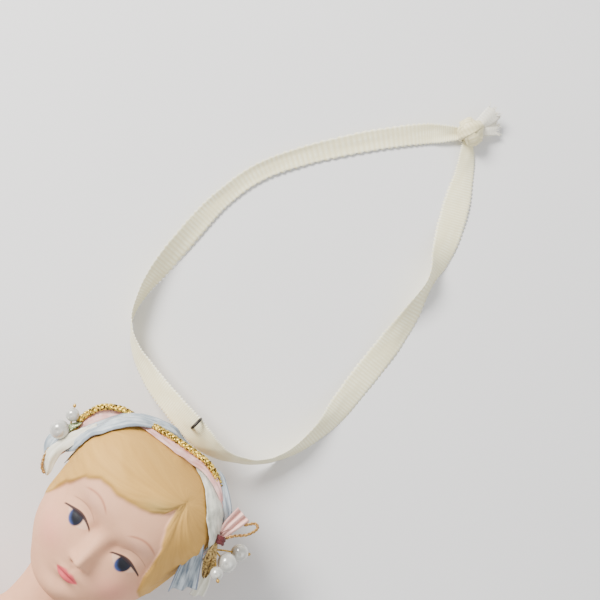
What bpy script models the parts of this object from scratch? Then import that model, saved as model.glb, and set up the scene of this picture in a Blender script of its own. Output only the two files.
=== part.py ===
"""Porcelain lady bust, made as a Christmas ornament, with a ribbon to hang it by.

The bust lies on its back on a table. +X is to the right of the face as one looks at it, +Y runs
from the base of the bust to the crown, and +Z is up. The origin is under the middle of the bust,
at table height. Everything is in metres.
"""
import math

import bmesh
import bpy
from mathutils import Matrix, Vector
from mathutils.bvhtree import BVHTree

for old in list(bpy.data.objects):
    bpy.data.objects.remove(old)

# Clearances
GAP = 0.0003            # between pieces that touch on the real ornament
DAB_GAP = GAP + 0.0005  # under a glue dab, whose flat foot lies on a round head

# Head: a loft of level sections, bowed forward on the neck
HEAD_HALF_WIDTH = 0.0218
CROWN_HEIGHT = 0.0215   # eye line to the top of the hair
CHIN_DROP = 0.0256      # eye line to the underside of the chin
FACE_DEPTH = 0.0206     # head centre to the cheeks
NAPE_DEPTH = 0.0257     # head centre to the back of the rolled hair
HEAD_BOW = math.radians(15.0)
EYE_SPACING = 0.0168
NOSE_HEIGHT = 0.0042
ROLL_DROP = 0.0007      # how far the rolled hair hangs below its own section

# Neck and shoulders
NECK_RADIUS = 0.0088
NECK_LENGTH = 0.0240    # underside of the chin to the top of the shoulders
BUST_HEIGHT = 0.0173
BUST_HALF_WIDTH = 0.0300
BUST_FRONT = 0.0165
BUST_BACK = 0.0175
WALL = 0.0026
VENT_RADIUS = 0.0040    # hole left in the base, where the slip was poured

# Hanging eye of wire, set in the crown
WIRE_RADIUS = 0.00045
EYE_HALF_HEIGHT = 0.0029
EYE_STAND = 0.0052      # outer skin of the hair to the middle of the eye
EYE_REACH = 0.0032      # middle of the eye to its outer end
EYE_SIDE = -0.0036      # the eye was set a little to one side
EYE_BACK = math.radians(32.0)
LEG_HALF_GAP = 0.0008
HOLE_RADIUS = 0.0018
GLUE_RING_RADIUS = 0.0032
GLUE_RING_HEIGHT = 0.0014

# Headband
BAND_BACK = math.radians(12.0)
BAND_END = math.radians(100.0)
RIBBON_THICKNESS = 0.0005
BLUE_WIDTH = 0.0044
PINK_WIDTH = 0.0038
CREAM_WIDTH = 0.0050
BRAID_WIDTH = 0.0022
BRAID_THICKNESS = 0.0010
LANE = 0.0024           # how far each strand lies from the middle of the band
CROSS_FROM = math.radians(-36.0)
CROSS_TO = math.radians(-8.0)

# Pearls
PEARL_LARGE = 0.0027
PEARL_BACK = 0.0025
PEARL_SMALL = 0.0018
LEFT_PEARL_SMALL = 0.0019
STEM_RADIUS = 0.0003

# Trimmings at the sides of the head
GLUE_RADIUS = 0.0018
GLUE_HEIGHT = 0.0012
GLUE_BEHIND = 0.0070    # how far behind the middle of the band the glue dabs sit
BINDING_BORE = 0.0010
BINDING_RADIUS = 0.0017
BINDING_LENGTH = 0.0022
TAPE_THICKNESS = 0.0008
FOIL_THICKNESS = 0.0005

# Hanging ribbon: a plain round stand-in for a flat ribbon
CORD_RADIUS = 0.0015
RIBBON_Y = 0.0450       # where the ribbon runs through the hanging eye, in the middle of the eye
CORD_STEP = 0.0055
KNOT_SIZE = (0.0040, 0.0036, 0.0031)

# Colours
BISQUE = (0.78, 0.66, 0.60)
WIRE_BLACK = (0.10, 0.10, 0.09)
GLUE = (0.80, 0.77, 0.64)
CREAM = (0.88, 0.86, 0.78)
PINK = (0.80, 0.51, 0.48)
BLUE = (0.60, 0.66, 0.72)
GOLD = (0.72, 0.50, 0.16)
PEARL = (0.90, 0.88, 0.84)
DARK_RED = (0.35, 0.05, 0.05)
GREEN_GOLD = (0.40, 0.42, 0.20)

# What follows from those sizes
CHIN_Y = -CHIN_DROP * math.cos(HEAD_BOW)
BUST_TOP_Y = CHIN_Y - NECK_LENGTH
BASE_Y = BUST_TOP_Y - BUST_HEIGHT
HEAD_RISE = NAPE_DEPTH * math.cos(HEAD_BOW) + ROLL_DROP
AXIS_DROP = BUST_BACK - HEAD_RISE
EYE_LIFT = HEAD_BOW - EYE_BACK
BAND_LIFT = HEAD_BOW - BAND_BACK


def bump(x, centre, width):
    """A smooth hill of height 1."""
    return math.exp(-(((x - centre) / width) ** 2))


def step(x, low, high):
    """0 below low, 1 above high, smooth between."""
    t = min(1.0, max(0.0, (x - low) / (high - low)))
    return t * t * (3.0 - 2.0 * t)


def smooth_row(rows, t):
    """The row of numbers at t, from 0 to 1, on a smooth curve through rows."""
    place = t * (len(rows) - 1)
    i = min(int(place), len(rows) - 2)
    f = place - i
    a = rows[max(i - 1, 0)]
    b, c = rows[i], rows[i + 1]
    d = rows[min(i + 2, len(rows) - 1)]
    out = []
    for p, q, r, s in zip(a, b, c, d):
        cubic = (2 * p - 5 * q + 4 * r - s) * f * f + (3 * (q - r) + s - p) * f ** 3
        out.append(q + 0.5 * ((r - p) * f + cubic))
    return out


def finish(name, bm, colour, roughness, metallic=0.0):
    """Make a named object of a bmesh, with its own material."""
    bmesh.ops.remove_doubles(bm, verts=bm.verts, dist=1e-6)
    bmesh.ops.recalc_face_normals(bm, faces=bm.faces)
    mesh = bpy.data.meshes.new(name)
    bm.to_mesh(mesh)
    bm.free()
    obj = bpy.data.objects.new(name, mesh)
    bpy.context.collection.objects.link(obj)
    paint(obj, colour, roughness, metallic)
    mesh.shade_smooth()
    mesh.set_sharp_from_angle(angle=math.radians(40.0))
    return obj


def paint(obj, colour, roughness, metallic=0.0):
    material = bpy.data.materials.new(obj.name)
    material.use_nodes = True
    shader = material.node_tree.nodes["Principled BSDF"]
    shader.inputs["Base Color"].default_value = (*colour, 1.0)
    shader.inputs["Roughness"].default_value = roughness
    shader.inputs["Metallic"].default_value = metallic
    obj.data.materials.append(material)


def loft(bm, rings):
    """Skin a row of rings with extrusions, and close both ends."""
    loop = [bm.verts.new(p) for p in rings[0]]
    bm.faces.new(loop)
    for ring in rings[1:]:
        pairs = zip(loop, loop[1:] + loop[:1])
        edges = [bm.edges.get(pair) for pair in pairs]
        made = bmesh.ops.extrude_edge_only(bm, edges=edges)["geom"]
        fresh = {v for v in made if isinstance(v, bmesh.types.BMVert)}
        following = []
        for v, p in zip(loop, ring):
            w = next(e.other_vert(v) for e in v.link_edges if e.other_vert(v) in fresh)
            w.co = p
            following.append(w)
        loop = following
    bm.faces.new(loop)


def tube(name, points, radius, colour, roughness, metallic=0.0, sides=2):
    """A round bar along points."""
    curve = bpy.data.curves.new(name, "CURVE")
    curve.dimensions = "3D"
    curve.bevel_depth = radius
    curve.bevel_resolution = sides
    curve.use_fill_caps = True
    spline = curve.splines.new("POLY")
    spline.points.add(len(points) - 1)
    for point, place in zip(spline.points, points):
        point.co = (*place, 1.0)
    obj = bpy.data.objects.new(name, curve)
    bpy.context.collection.objects.link(obj)
    paint(obj, colour, roughness, metallic)
    return obj


def along(points, count):
    """count points on a smooth curve through points."""
    return [Vector(smooth_row(points, i / (count - 1))) for i in range(count)]


# ---------------------------------------------------------------- bust

CENTRE = Vector((0.0, 0.0, HEAD_RISE))      # head centre, moved to its place along Y below

# Each row: share of the height, of the half width, of the front and of the back
BUST_ROWS = [
    (0.00, 0.72, 0.86, 0.985), (0.10, 0.80, 0.94, 1.0), (0.30, 0.93, 1.0, 1.0),
    (0.50, 1.00, 0.99, 1.0), (0.66, 0.98, 0.90, 0.97), (0.80, 0.86, 0.76, 0.90),
    (0.92, 0.60, 0.62, 0.76), (1.00, 0.40, 0.55, 0.64),
]
# Each row: share of the neck from its foot up, of the bow, and of the neck's radius
NECK_ROWS = [
    (0.06, 0.0, 1.14, 1.02, 1.10), (0.22, 0.0, 0.93, 0.97, 1.00), (0.52, 0.10, 0.94, 0.97, 1.02),
    (0.82, 0.40, 1.08, 0.98, 1.06),
]
# Each row: height against the chin's or the crown's, shares of half width, front and back, and
# how far the section's middle lies behind the head's, against the neck's radius
HEAD_ROWS = [
    (-1.02, 0.46, 0.42, 0.38, 0.36), (-1.00, 0.49, 0.66, 0.42, 0.18), (-0.95, 0.57, 0.82, 0.45, 0.0),
    (-0.80, 0.70, 0.92, 0.55, 0.0), (-0.62, 0.845, 0.975, 0.68, 0.0), (-0.42, 0.92, 1.0, 0.86, 0.0),
    (-0.20, 0.95, 0.99, 0.97, 0.0), (0.00, 0.97, 0.965, 1.00, 0.0), (0.28, 1.0, 0.99, 0.985, 0.0),
    (0.52, 0.985, 0.95, 0.91, 0.0), (0.72, 0.89, 0.85, 0.79, 0.0), (0.87, 0.72, 0.68, 0.62, 0.0),
    (0.96, 0.46, 0.44, 0.40, 0.0), (1.00, 0.10, 0.10, 0.10, 0.0),
]


def sections(inset):
    """Every section of the bust, base to crown: middle, tilt, half width, front, back."""
    rows = []
    for share, w, f, b in BUST_ROWS:
        y = BASE_Y + inset + share * (BUST_HEIGHT - inset)
        rows.append((y, AXIS_DROP, 0.0, w * BUST_HALF_WIDTH, f * BUST_FRONT, b * BUST_BACK))
    chin_axis = -CHIN_DROP * math.sin(HEAD_BOW) - 0.35 * NECK_RADIUS
    for share, bow, w, f, b in NECK_ROWS:
        y = BUST_TOP_Y + share * NECK_LENGTH
        z = AXIS_DROP + (chin_axis - AXIS_DROP) * share
        rows.append((y, z, bow * HEAD_BOW, w * NECK_RADIUS, f * NECK_RADIUS, b * NECK_RADIUS))
    for height, w, f, b, behind in HEAD_ROWS:
        up = height * (CHIN_DROP if height < 0 else CROWN_HEIGHT - inset)
        back = -behind * NECK_RADIUS
        y = up * math.cos(HEAD_BOW) - back * math.sin(HEAD_BOW)
        z = up * math.sin(HEAD_BOW) + back * math.cos(HEAD_BOW)
        wide = w * HEAD_HALF_WIDTH
        rows.append((y, z, HEAD_BOW, wide, f * FACE_DEPTH, b * NAPE_DEPTH))
    return [(*row[:3], *(max(size - inset, 0.0012) for size in row[3:])) for row in rows]


def bust_rings(inset, count, sides, face):
    """The rings of the bust's skin, inset from the outside."""
    rings = []
    rows = sections(inset)
    for i in range(count):
        y, z, tilt, wide, front, back = smooth_row(rows, i / (count - 1))
        low = step(y, BUST_TOP_Y, BUST_TOP_Y - 0.5 * BUST_HEIGHT)
        ring = []
        for k in range(sides):
            turn = 2.0 * math.pi * k / sides
            c, s = math.cos(turn), math.sin(turn)
            power = 2.0 / (2.15 + (1.2 * low if s < 0 else 0.5 * low))
            across = wide * math.copysign(abs(c) ** power, c)
            out = (front if s > 0 else back) * math.copysign(abs(s) ** power, s)
            if face and s > 0 and tilt > 0.5 * HEAD_BOW:
                up = y / math.cos(HEAD_BOW)
                out += relief(across, up)
            place = Vector((across, y - out * math.sin(tilt), z + out * math.cos(tilt)))
            ring.append(place + CENTRE)
        rings.append(ring)
    return rings


def relief(x, up):
    """How far the face stands out of its section: nose, brow, eye hollows, lips and chin."""
    eye = EYE_SPACING / 2
    nose = NOSE_HEIGHT * bump(x, 0.0, 0.0026) * bump(up, -0.28 * CHIN_DROP, 0.0044)
    bridge = 0.0010 * bump(x, 0.0, 0.0030) * bump(up, -0.0020, 0.0050)
    hollow = -0.0013 * bump(abs(x), eye, 0.0040) * bump(up, -0.0010, 0.0030)
    lips = 0.0011 * bump(x, 0.0, 0.0040) * bump(up, -0.53 * CHIN_DROP, 0.0022)
    chin = 0.0012 * bump(x, 0.0, 0.0050) * bump(up, -0.82 * CHIN_DROP, 0.0030)
    return nose + bridge + hollow + lips + chin


outer = bmesh.new()
loft(outer, bust_rings(0.0, 50, 48, True))
bmesh.ops.recalc_face_normals(outer, faces=outer.faces)
skin = BVHTree.FromBMesh(outer)


def surface(direction, start=Vector((0.0, 0.0, 0.0))):
    """Where a straight line from the head's centre, moved by start, leaves the head."""
    far = CENTRE + start + direction * 0.2
    place = skin.ray_cast(far, -direction)[0]
    return (place - CENTRE - start).dot(direction)


eye_way = Vector((0.0, math.cos(EYE_LIFT), math.sin(EYE_LIFT)))
eye_skin = surface(eye_way, Vector((EYE_SIDE, 0.0, 0.0)))
SHIFT = RIBBON_Y - (eye_skin + EYE_STAND) * math.cos(EYE_LIFT)
LIFT = -min(v.co.z for v in outer.verts)
bmesh.ops.translate(outer, verts=outer.verts, vec=(0.0, SHIFT, LIFT))
CENTRE = Vector((0.0, SHIFT, HEAD_RISE + LIFT))
skin = BVHTree.FromBMesh(outer)
bust = finish("bust_shell", outer, BISQUE, 0.55)


def cutter(name, bm):
    """A hidden solid that is taken out of the bust."""
    bmesh.ops.recalc_face_normals(bm, faces=bm.faces)
    mesh = bpy.data.meshes.new(name)
    bm.to_mesh(mesh)
    bm.free()
    obj = bpy.data.objects.new(name, mesh)
    bpy.context.collection.objects.link(obj)
    obj.hide_render = True
    obj.display_type = "WIRE"
    cut = bust.modifiers.new(name, "BOOLEAN")
    cut.operation = "DIFFERENCE"
    cut.solver = "EXACT"
    cut.object = obj


def bar(start, way, radius, length, sides=24):
    """A round bar as a bmesh, from start along way."""
    bm = bmesh.new()
    turn = Vector(way).to_track_quat("Z", "Y").to_matrix().to_4x4()
    middle = Vector(start) + Vector(way) * (length / 2)
    bmesh.ops.create_cone(
        bm, cap_ends=True, segments=sides, radius1=radius, radius2=radius, depth=length,
        matrix=Matrix.Translation(middle) @ turn,
    )
    return bm


cavity = bmesh.new()
loft(cavity, bust_rings(WALL, 26, 24, False))
bmesh.ops.recalc_face_normals(cavity, faces=cavity.faces)
lining = BVHTree.FromBMesh(cavity)
cutter("cavity", cavity)

axis_height = CENTRE.z + AXIS_DROP
vent_start = (0.0, BASE_Y + SHIFT - WALL, axis_height)
cutter("vent", bar(vent_start, (0.0, 1.0, 0.0), VENT_RADIUS, 3.0 * WALL))

# ---------------------------------------------------------------- hanging eye

eye_side = Vector((0.0, -math.sin(EYE_LIFT), math.cos(EYE_LIFT)))
eye_root = CENTRE + Vector((EYE_SIDE, 0.0, 0.0)) + eye_way * eye_skin
cutter("crown_hole", bar(eye_root - eye_way * 2.2 * WALL, eye_way, HOLE_RADIUS, 4.0 * WALL))


def on_eye(out, across):
    """A point in the plane of the hanging eye: out from the hair, and across it."""
    return eye_root + eye_way * out + eye_side * across


eye_wall = max((on_eye(0.0, a) - lining.ray_cast(on_eye(0.05, a), -eye_way)[0]).dot(eye_way)
               for a in (-GLUE_RING_RADIUS, 0.0, GLUE_RING_RADIUS))


def eye_outline():
    """One half of the wire, from its bent end inside the head to the end of the loop."""
    half = [
        (-leg_depth - 0.0004, LEG_HALF_GAP + 0.0026),
        (-leg_depth, LEG_HALF_GAP + 0.0010),
        (-leg_depth + 0.0010, LEG_HALF_GAP),
        (-WALL, LEG_HALF_GAP),
        (0.0008, LEG_HALF_GAP),
        (0.0026, LEG_HALF_GAP + 0.0006),
    ]
    for i in range(6):
        turn = math.radians(148.0 - 148.0 * i / 5)
        reach = EYE_REACH * math.cos(turn)
        half.append((EYE_STAND + reach, EYE_HALF_HEIGHT * math.sin(turn)))
    return half


leg_depth = eye_wall + GLUE_RING_HEIGHT + 2.0 * GAP + 2.0 * WIRE_RADIUS
one = eye_outline()
other = [(out, -across) for out, across in reversed(one[:-1])]
wire_path = [on_eye(out, across) for out, across in one + other]
tube("hanger_wire", wire_path, WIRE_RADIUS, WIRE_BLACK, 0.45, 0.9)

glue_ring = bmesh.new()
ring_out = -eye_wall - GAP - GLUE_RING_HEIGHT / 2
ring_in = LEG_HALF_GAP + WIRE_RADIUS + GAP
loop_edges = []
profile = [
    (ring_in, -GLUE_RING_HEIGHT / 2), (GLUE_RING_RADIUS, -GLUE_RING_HEIGHT / 2),
    (GLUE_RING_RADIUS - 0.0004, GLUE_RING_HEIGHT / 2), (ring_in, GLUE_RING_HEIGHT / 2),
]
corners = [glue_ring.verts.new(on_eye(ring_out + high, across)) for across, high in profile]
for a, b in zip(corners, corners[1:] + corners[:1]):
    loop_edges.append(glue_ring.edges.new((a, b)))
bmesh.ops.spin(
    glue_ring, geom=corners + loop_edges, cent=on_eye(ring_out, 0.0), axis=eye_way,
    angle=2.0 * math.pi, steps=20, use_merge=True,
)
finish("crown_glue", glue_ring, GLUE, 0.4)

# ---------------------------------------------------------------- headband

band_up = Vector((0.0, math.cos(BAND_LIFT), math.sin(BAND_LIFT)))
band_back = Vector((0.0, math.sin(BAND_LIFT), -math.cos(BAND_LIFT)))


def on_band(turn, lateral, lift):
    """A point over the head: turn round the band from its top, lateral to the back, and lift."""
    way = Vector((math.sin(turn), 0.0, 0.0)) + band_up * math.cos(turn)
    start = band_back * lateral
    return CENTRE + start + way * (surface(way, start) + lift)


def strand(name, first, last, path, width, thickness, colour, roughness, metallic=0.0, steps=44):
    """A flat strand laid over the head; path(turn) gives how far back and how high it lies."""
    rings = []
    for i in range(steps + 1):
        turn = first + (last - first) * i / steps
        lateral, lift = path(turn)
        near, far = lateral - width / 2, lateral + width / 2
        rings.append([
            on_band(turn, near, lift), on_band(turn, far, lift),
            on_band(turn, far, lift + thickness), on_band(turn, near, lift + thickness),
        ])
    bm = bmesh.new()
    loft(bm, rings)
    return finish(name, bm, colour, roughness, metallic)


def crossed(turn):
    """How far the strands have changed places: 0 at the left end, 1 at the right end."""
    return step(turn, CROSS_FROM, CROSS_TO)


LAYER = RIBBON_THICKNESS + 1.4 * GAP
FIRST_LIFT = 1.6 * GAP
RAMP = math.radians(16.0)


def cream_path(turn):
    return LANE * 0.5 * (1.0 - 2.0 * step(turn, 0.0, 1.0)), FIRST_LIFT


def pink_path(turn):
    rise = 0.0016 * bump(turn, math.radians(-62.0), math.radians(15.0))
    return LANE * (1.0 - 2.0 * crossed(turn)), FIRST_LIFT + LAYER + rise


def braid_path(turn):
    lateral, lift = pink_path(turn)
    rise = 0.0016 * bump(turn, math.radians(-62.0), math.radians(14.0))
    return lateral + 0.0006, lift + LAYER + rise


def blue_path(turn):
    over = step(turn, CROSS_FROM - RAMP, CROSS_FROM) * (1.0 - step(turn, CROSS_TO, CROSS_TO + RAMP))
    lift = FIRST_LIFT + LAYER + over * (LAYER + BRAID_THICKNESS + GAP)
    return -LANE * (1.0 - 2.0 * crossed(turn)), lift


strand("band_ribbon_cream", -BAND_END, BAND_END, cream_path, CREAM_WIDTH, RIBBON_THICKNESS,
       CREAM, 0.7)
strand("band_ribbon_pink", -BAND_END, BAND_END, pink_path, PINK_WIDTH, RIBBON_THICKNESS,
       PINK, 0.7)
strand("band_ribbon_blue", -BAND_END, BAND_END, blue_path, BLUE_WIDTH, RIBBON_THICKNESS,
       BLUE, 0.7)
strand("band_gold_braid", math.radians(-84.0), math.radians(70.0), braid_path, BRAID_WIDTH,
       BRAID_THICKNESS, GOLD, 0.35, 0.9)

# ---------------------------------------------------------------- side clusters


def beside(side, out, y, z):
    """A place given from the head's centre, and out from its side: -1 is left and 1 is right."""
    return CENTRE + Vector((side * (HEAD_HALF_WIDTH + out), y, z))


def pearl(name, place, radius):
    bm = bmesh.new()
    bmesh.ops.create_uvsphere(
        bm, u_segments=16, v_segments=10, radius=radius, matrix=Matrix.Translation(place)
    )
    return finish(name, bm, PEARL, 0.2)


def stem(name, root, pearl_place, radius):
    """A fine wire from the binding to a pearl."""
    way = (pearl_place - root).normalized()
    end = pearl_place - way * (radius + GAP)
    return tube(name, [root, (root + end) / 2, end], STEM_RADIUS, GOLD, 0.4, 0.9, 1)


def strip(name, route, facing, widths, thickness, colour, roughness, metallic=0.0, steps=10):
    """A short flat piece along route, its flat side turned to facing, of changing width."""
    centre = along(route, steps + 1)
    sizes = [smooth_row([(w,) for w in widths], i / steps)[0] for i in range(steps + 1)]
    rings = []
    for i, place in enumerate(centre):
        way = (centre[min(i + 1, steps)] - centre[max(i - 1, 0)]).normalized()
        side = way.cross(Vector(facing)).normalized() * sizes[i] / 2
        up = side.cross(way).normalized() * thickness / 2
        rings.append([place - side - up, place + side - up, place + side + up, place - side + up])
    bm = bmesh.new()
    loft(bm, rings)
    return finish(name, bm, colour, roughness, metallic)


def binding(name, place, way):
    """A ring of thread round the roots of the cluster."""
    bm = bmesh.new()
    axis = Vector(way).normalized()
    side = axis.orthogonal().normalized()
    half = BINDING_LENGTH / 2
    profile = [(BINDING_BORE, -half), (BINDING_RADIUS, -half), (BINDING_RADIUS, half),
               (BINDING_BORE, half)]
    verts = [bm.verts.new(place + side * r + axis * h) for r, h in profile]
    edges = [bm.edges.new(pair) for pair in zip(verts, verts[1:] + verts[:1])]
    bmesh.ops.spin(bm, geom=verts + edges, cent=place, axis=axis, angle=2.0 * math.pi, steps=16,
                   use_merge=True)
    return finish(name, bm, DARK_RED, 0.7)


def glue_dab(name, turn):
    """A dab of clear glue on the hair, under a cluster."""
    way = Vector((math.sin(turn), 0.0, 0.0)) + band_up * math.cos(turn)
    middle = on_band(turn, GLUE_BEHIND, DAB_GAP + GLUE_HEIGHT / 2)
    bm = bmesh.new()
    turned = way.to_track_quat("Z", "Y").to_matrix().to_4x4()
    bmesh.ops.create_cone(
        bm, cap_ends=True, segments=16, radius1=GLUE_RADIUS, radius2=GLUE_RADIUS * 0.55,
        depth=GLUE_HEIGHT, matrix=Matrix.Translation(middle) @ turned,
    )
    return finish(name, bm, GLUE, 0.35)


# Each pearl: name, radius, place out from the side of the head, along Y and along Z, and where its
# stem leaves the binding, along Y and along Z
PEARLS = {
    "right": [
        ("large", PEARL_LARGE, (0.0069, 0.0073 + PEARL_LARGE, 0.0042), (0.0, 0.0)),
        ("small", PEARL_SMALL, (0.0062, 0.0074, 0.0098), (-0.0013, 0.0)),
        ("back", PEARL_BACK, (0.0082, 0.0130, -0.0016), (0.0013, 0.0)),
    ],
    "left": [
        ("large", PEARL_LARGE, (0.0070, 0.0035, 0.0040), (0.0, 0.0)),
        ("small", LEFT_PEARL_SMALL, (0.0074, 0.0085, 0.0028), (0.0, -0.0012)),
    ],
}
# Each trimming: name, colour, metallic, thickness, its route in the same three measures, how much
# it faces out and up, and its widths along the route
TRIMMINGS = {
    "right": [
        ("tail_pink", PINK, 0.0, TAPE_THICKNESS,
         [(0.0044, 0.0150, 0.0006), (0.0057, 0.0185, 0.0014), (0.0040, 0.0226, 0.0006)],
         (0.4, 1.0), [0.0022, 0.0042, 0.0050]),
        ("braid_tail", GOLD, 0.9, TAPE_THICKNESS,
         [(0.0052, 0.0146, -0.0022), (0.0072, 0.0186, -0.0024), (0.0070, 0.0232, -0.0030)],
         (0.4, 1.0), [0.0012, 0.0018, 0.0014]),
        ("loop_blue", BLUE, 0.0, TAPE_THICKNESS,
         [(0.0018, 0.0058, 0.0066), (0.0038, 0.0010, 0.0060), (0.0044, -0.0052, 0.0040)],
         (0.7, 0.7), [0.0030, 0.0060, 0.0084]),
        ("loop_cream", CREAM, 0.0, TAPE_THICKNESS,
         [(0.0072, 0.0006, -0.0012), (0.0088, -0.0022, -0.0014), (0.0094, -0.0056, -0.0022)],
         (0.9, 0.5), [0.0026, 0.0040, 0.0046]),
        ("foil_leaf", GOLD, 0.9, FOIL_THICKNESS,
         [(0.0022, 0.0110, 0.0066), (0.0040, 0.0078, 0.0080), (0.0054, 0.0022, 0.0078)],
         (0.5, 0.9), [0.0010, 0.0024, 0.0010]),
    ],
    "left": [
        ("loop_cream", CREAM, 0.0, TAPE_THICKNESS,
         [(0.0018, 0.0030, 0.0056), (0.0032, -0.0020, 0.0056), (0.0022, -0.0072, 0.0040)],
         (0.8, 0.7), [0.0040, 0.0046, 0.0026]),
        ("loop_blue", BLUE, 0.0, TAPE_THICKNESS,
         [(0.0056, -0.0002, 0.0024), (0.0078, -0.0030, 0.0016), (0.0070, -0.0072, 0.0000)],
         (0.9, 0.5), [0.0026, 0.0040, 0.0050]),
        ("tail_pink", PINK, 0.0, TAPE_THICKNESS,
         [(0.0044, -0.0055, 0.0008), (0.0052, -0.0080, 0.0004), (0.0044, -0.0112, 0.0000)],
         (0.9, 0.5), [0.0020, 0.0030, 0.0036]),
        ("braid_tail", GOLD, 0.9, TAPE_THICKNESS,
         [(0.0044, -0.0060, -0.0024), (0.0054, -0.0090, -0.0030), (0.0044, -0.0125, -0.0036)],
         (0.9, 0.5), [0.0012, 0.0016, 0.0014]),
        ("foil_leaf", GREEN_GOLD, 0.9, FOIL_THICKNESS,
         [(0.0038, 0.0070, 0.0060), (0.0054, 0.0092, 0.0066), (0.0064, 0.0126, 0.0050)],
         (0.6, 0.8), [0.0010, 0.0024, 0.0008]),
    ],
}
STEM_ROOTS = {"right": (0.0050, 0.0080, -0.0012), "left": (0.0050, 0.0010, -0.0012)}
BINDINGS = {
    "right": ((0.0036, 0.0127, -0.0010), (0.35, 1.0, 0.0)),
    "left": ((0.0044, -0.0035, -0.0010), (-0.2, 1.0, 0.0)),
}
DAB_TURNS = {"right": math.radians(84.0), "left": math.radians(-90.0)}

for word, side in (("right", 1), ("left", -1)):
    root = beside(side, *STEM_ROOTS[word])
    for kind, radius, place, (root_y, root_z) in PEARLS[word]:
        middle = beside(side, *place)
        pearl(f"{word}_pearl_{kind}", middle, radius)
        stem(f"{word}_stem_{kind}", root + Vector((0.0, root_y, root_z)), middle, radius)
    for kind, colour, metallic, thickness, places, (out, up), widths in TRIMMINGS[word]:
        route = [beside(side, *place) for place in places]
        strip(f"{word}_{kind}", route, (side * out, 0.0, up), widths, thickness, colour, 0.6,
              metallic)
    binding_place, binding_way = BINDINGS[word]
    binding(f"{word}_binding", beside(side, *binding_place), binding_way)
    glue_dab(f"{word}_glue_dab", DAB_TURNS[word])

# ---------------------------------------------------------------- hanging ribbon

# The ribbon's route from the knot, through the wire eye and back to the knot
RIBBON_ROUTE = [
    (-0.0106, 0.1590, 0.0032), (-0.0173, 0.1522, 0.0019), (-0.0261, 0.1407, 0.0017),
    (-0.0360, 0.1253, 0.0017), (-0.0430, 0.1110, 0.0017), (-0.0455, 0.0970, 0.0018),
    (-0.0452, 0.0840, 0.0018), (-0.0438, 0.0700, 0.0024), (-0.0420, 0.0600, 0.0032),
    (-0.0385, 0.0520, 0.0042), (-0.0320, 0.0474, 0.0060), (-0.0246, 0.0456, 0.0092),
    (-0.0170, 0.0451, 0.0130), (-0.0096, 0.0450, 0.0161), (-0.0036, 0.0450, 0.0172),
    (0.0012, 0.0451, 0.0169), (0.0052, 0.0452, 0.0156), (0.0092, 0.0454, 0.0131),
    (0.0132, 0.0465, 0.0096), (0.0172, 0.0490, 0.0064), (0.0208, 0.0533, 0.0042),
    (0.0233, 0.0601, 0.0031), (0.0243, 0.0700, 0.0021), (0.0234, 0.0790, 0.0018),
    (0.0220, 0.0900, 0.0017), (0.0207, 0.1010, 0.0018), (0.0190, 0.1110, 0.0020),
    (0.0163, 0.1225, 0.0028), (0.0130, 0.1308, 0.0026), (0.0089, 0.1389, 0.0020),
    (0.0048, 0.1461, 0.0018), (0.0006, 0.1532, 0.0022), (-0.0030, 0.1584, 0.0032),
]
KNOT_PLACE = (-0.0070, 0.1628, 0.0036)
# Each cut end beyond the knot: its route and the way its flat side faces
TAILS = {
    "short": ([(-0.0030, 0.1664, 0.0050), (-0.0014, 0.1684, 0.0048), (-0.0002, 0.1708, 0.0034)],
              (0.2, 0.0, 1.0)),
    "long": ([(-0.0085, 0.1674, 0.0046), (-0.0090, 0.1700, 0.0050), (-0.0086, 0.1732, 0.0034)],
             (0.0, -0.2, 1.0)),
}
TAIL_WIDTHS = [0.0022, 0.0036, 0.0042]


def evenly(route, spacing):
    """Points a fixed spacing apart on the smooth curve through route."""
    fine = along(route, 40 * len(route))
    total = sum((b - a).length for a, b in zip(fine, fine[1:]))
    count = round(total / spacing)
    picked, run, wanted = [fine[0]], 0.0, total / count
    for a, b in zip(fine, fine[1:]):
        run += (b - a).length
        if run >= wanted * len(picked) - 1e-9 and len(picked) < count:
            picked.append(b)
    return picked + [fine[-1]]


knot = bmesh.new()
bmesh.ops.create_icosphere(knot, subdivisions=2, radius=1.0)
bmesh.ops.scale(knot, vec=KNOT_SIZE, verts=knot.verts)
bmesh.ops.translate(knot, vec=KNOT_PLACE, verts=knot.verts)

hanging = [
    tube("hanger_ribbon", evenly(RIBBON_ROUTE, CORD_STEP), CORD_RADIUS, CREAM, 0.7),
    finish("ribbon_knot", knot, CREAM, 0.7),
]
for word, (route, facing) in TAILS.items():
    hanging.append(
        strip("ribbon_tail_" + word, route, facing, TAIL_WIDTHS, TAPE_THICKNESS, CREAM, 0.7)
    )

# The ribbon swings in the wire eye, so its pieces hang from an empty in the middle of the eye
swing = bpy.data.objects.new("swing", None)
bpy.context.collection.objects.link(swing)
swing.location = on_eye(EYE_STAND, 0.0)
for piece in hanging:
    piece.parent = swing
    piece.location = -swing.location
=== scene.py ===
"""Porcelain lady bust Christmas ornament, laid on its back on a table with its ribbon spread out.

+X is to the right of the face, +Y runs from the base of the bust to the crown, +Z is up from the
table. Lengths are in metres, except where a name or a note says millimetres.
"""
import math
import random

import bmesh
import bpy
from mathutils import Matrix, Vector, noise
from mathutils.bvhtree import BVHTree


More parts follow.
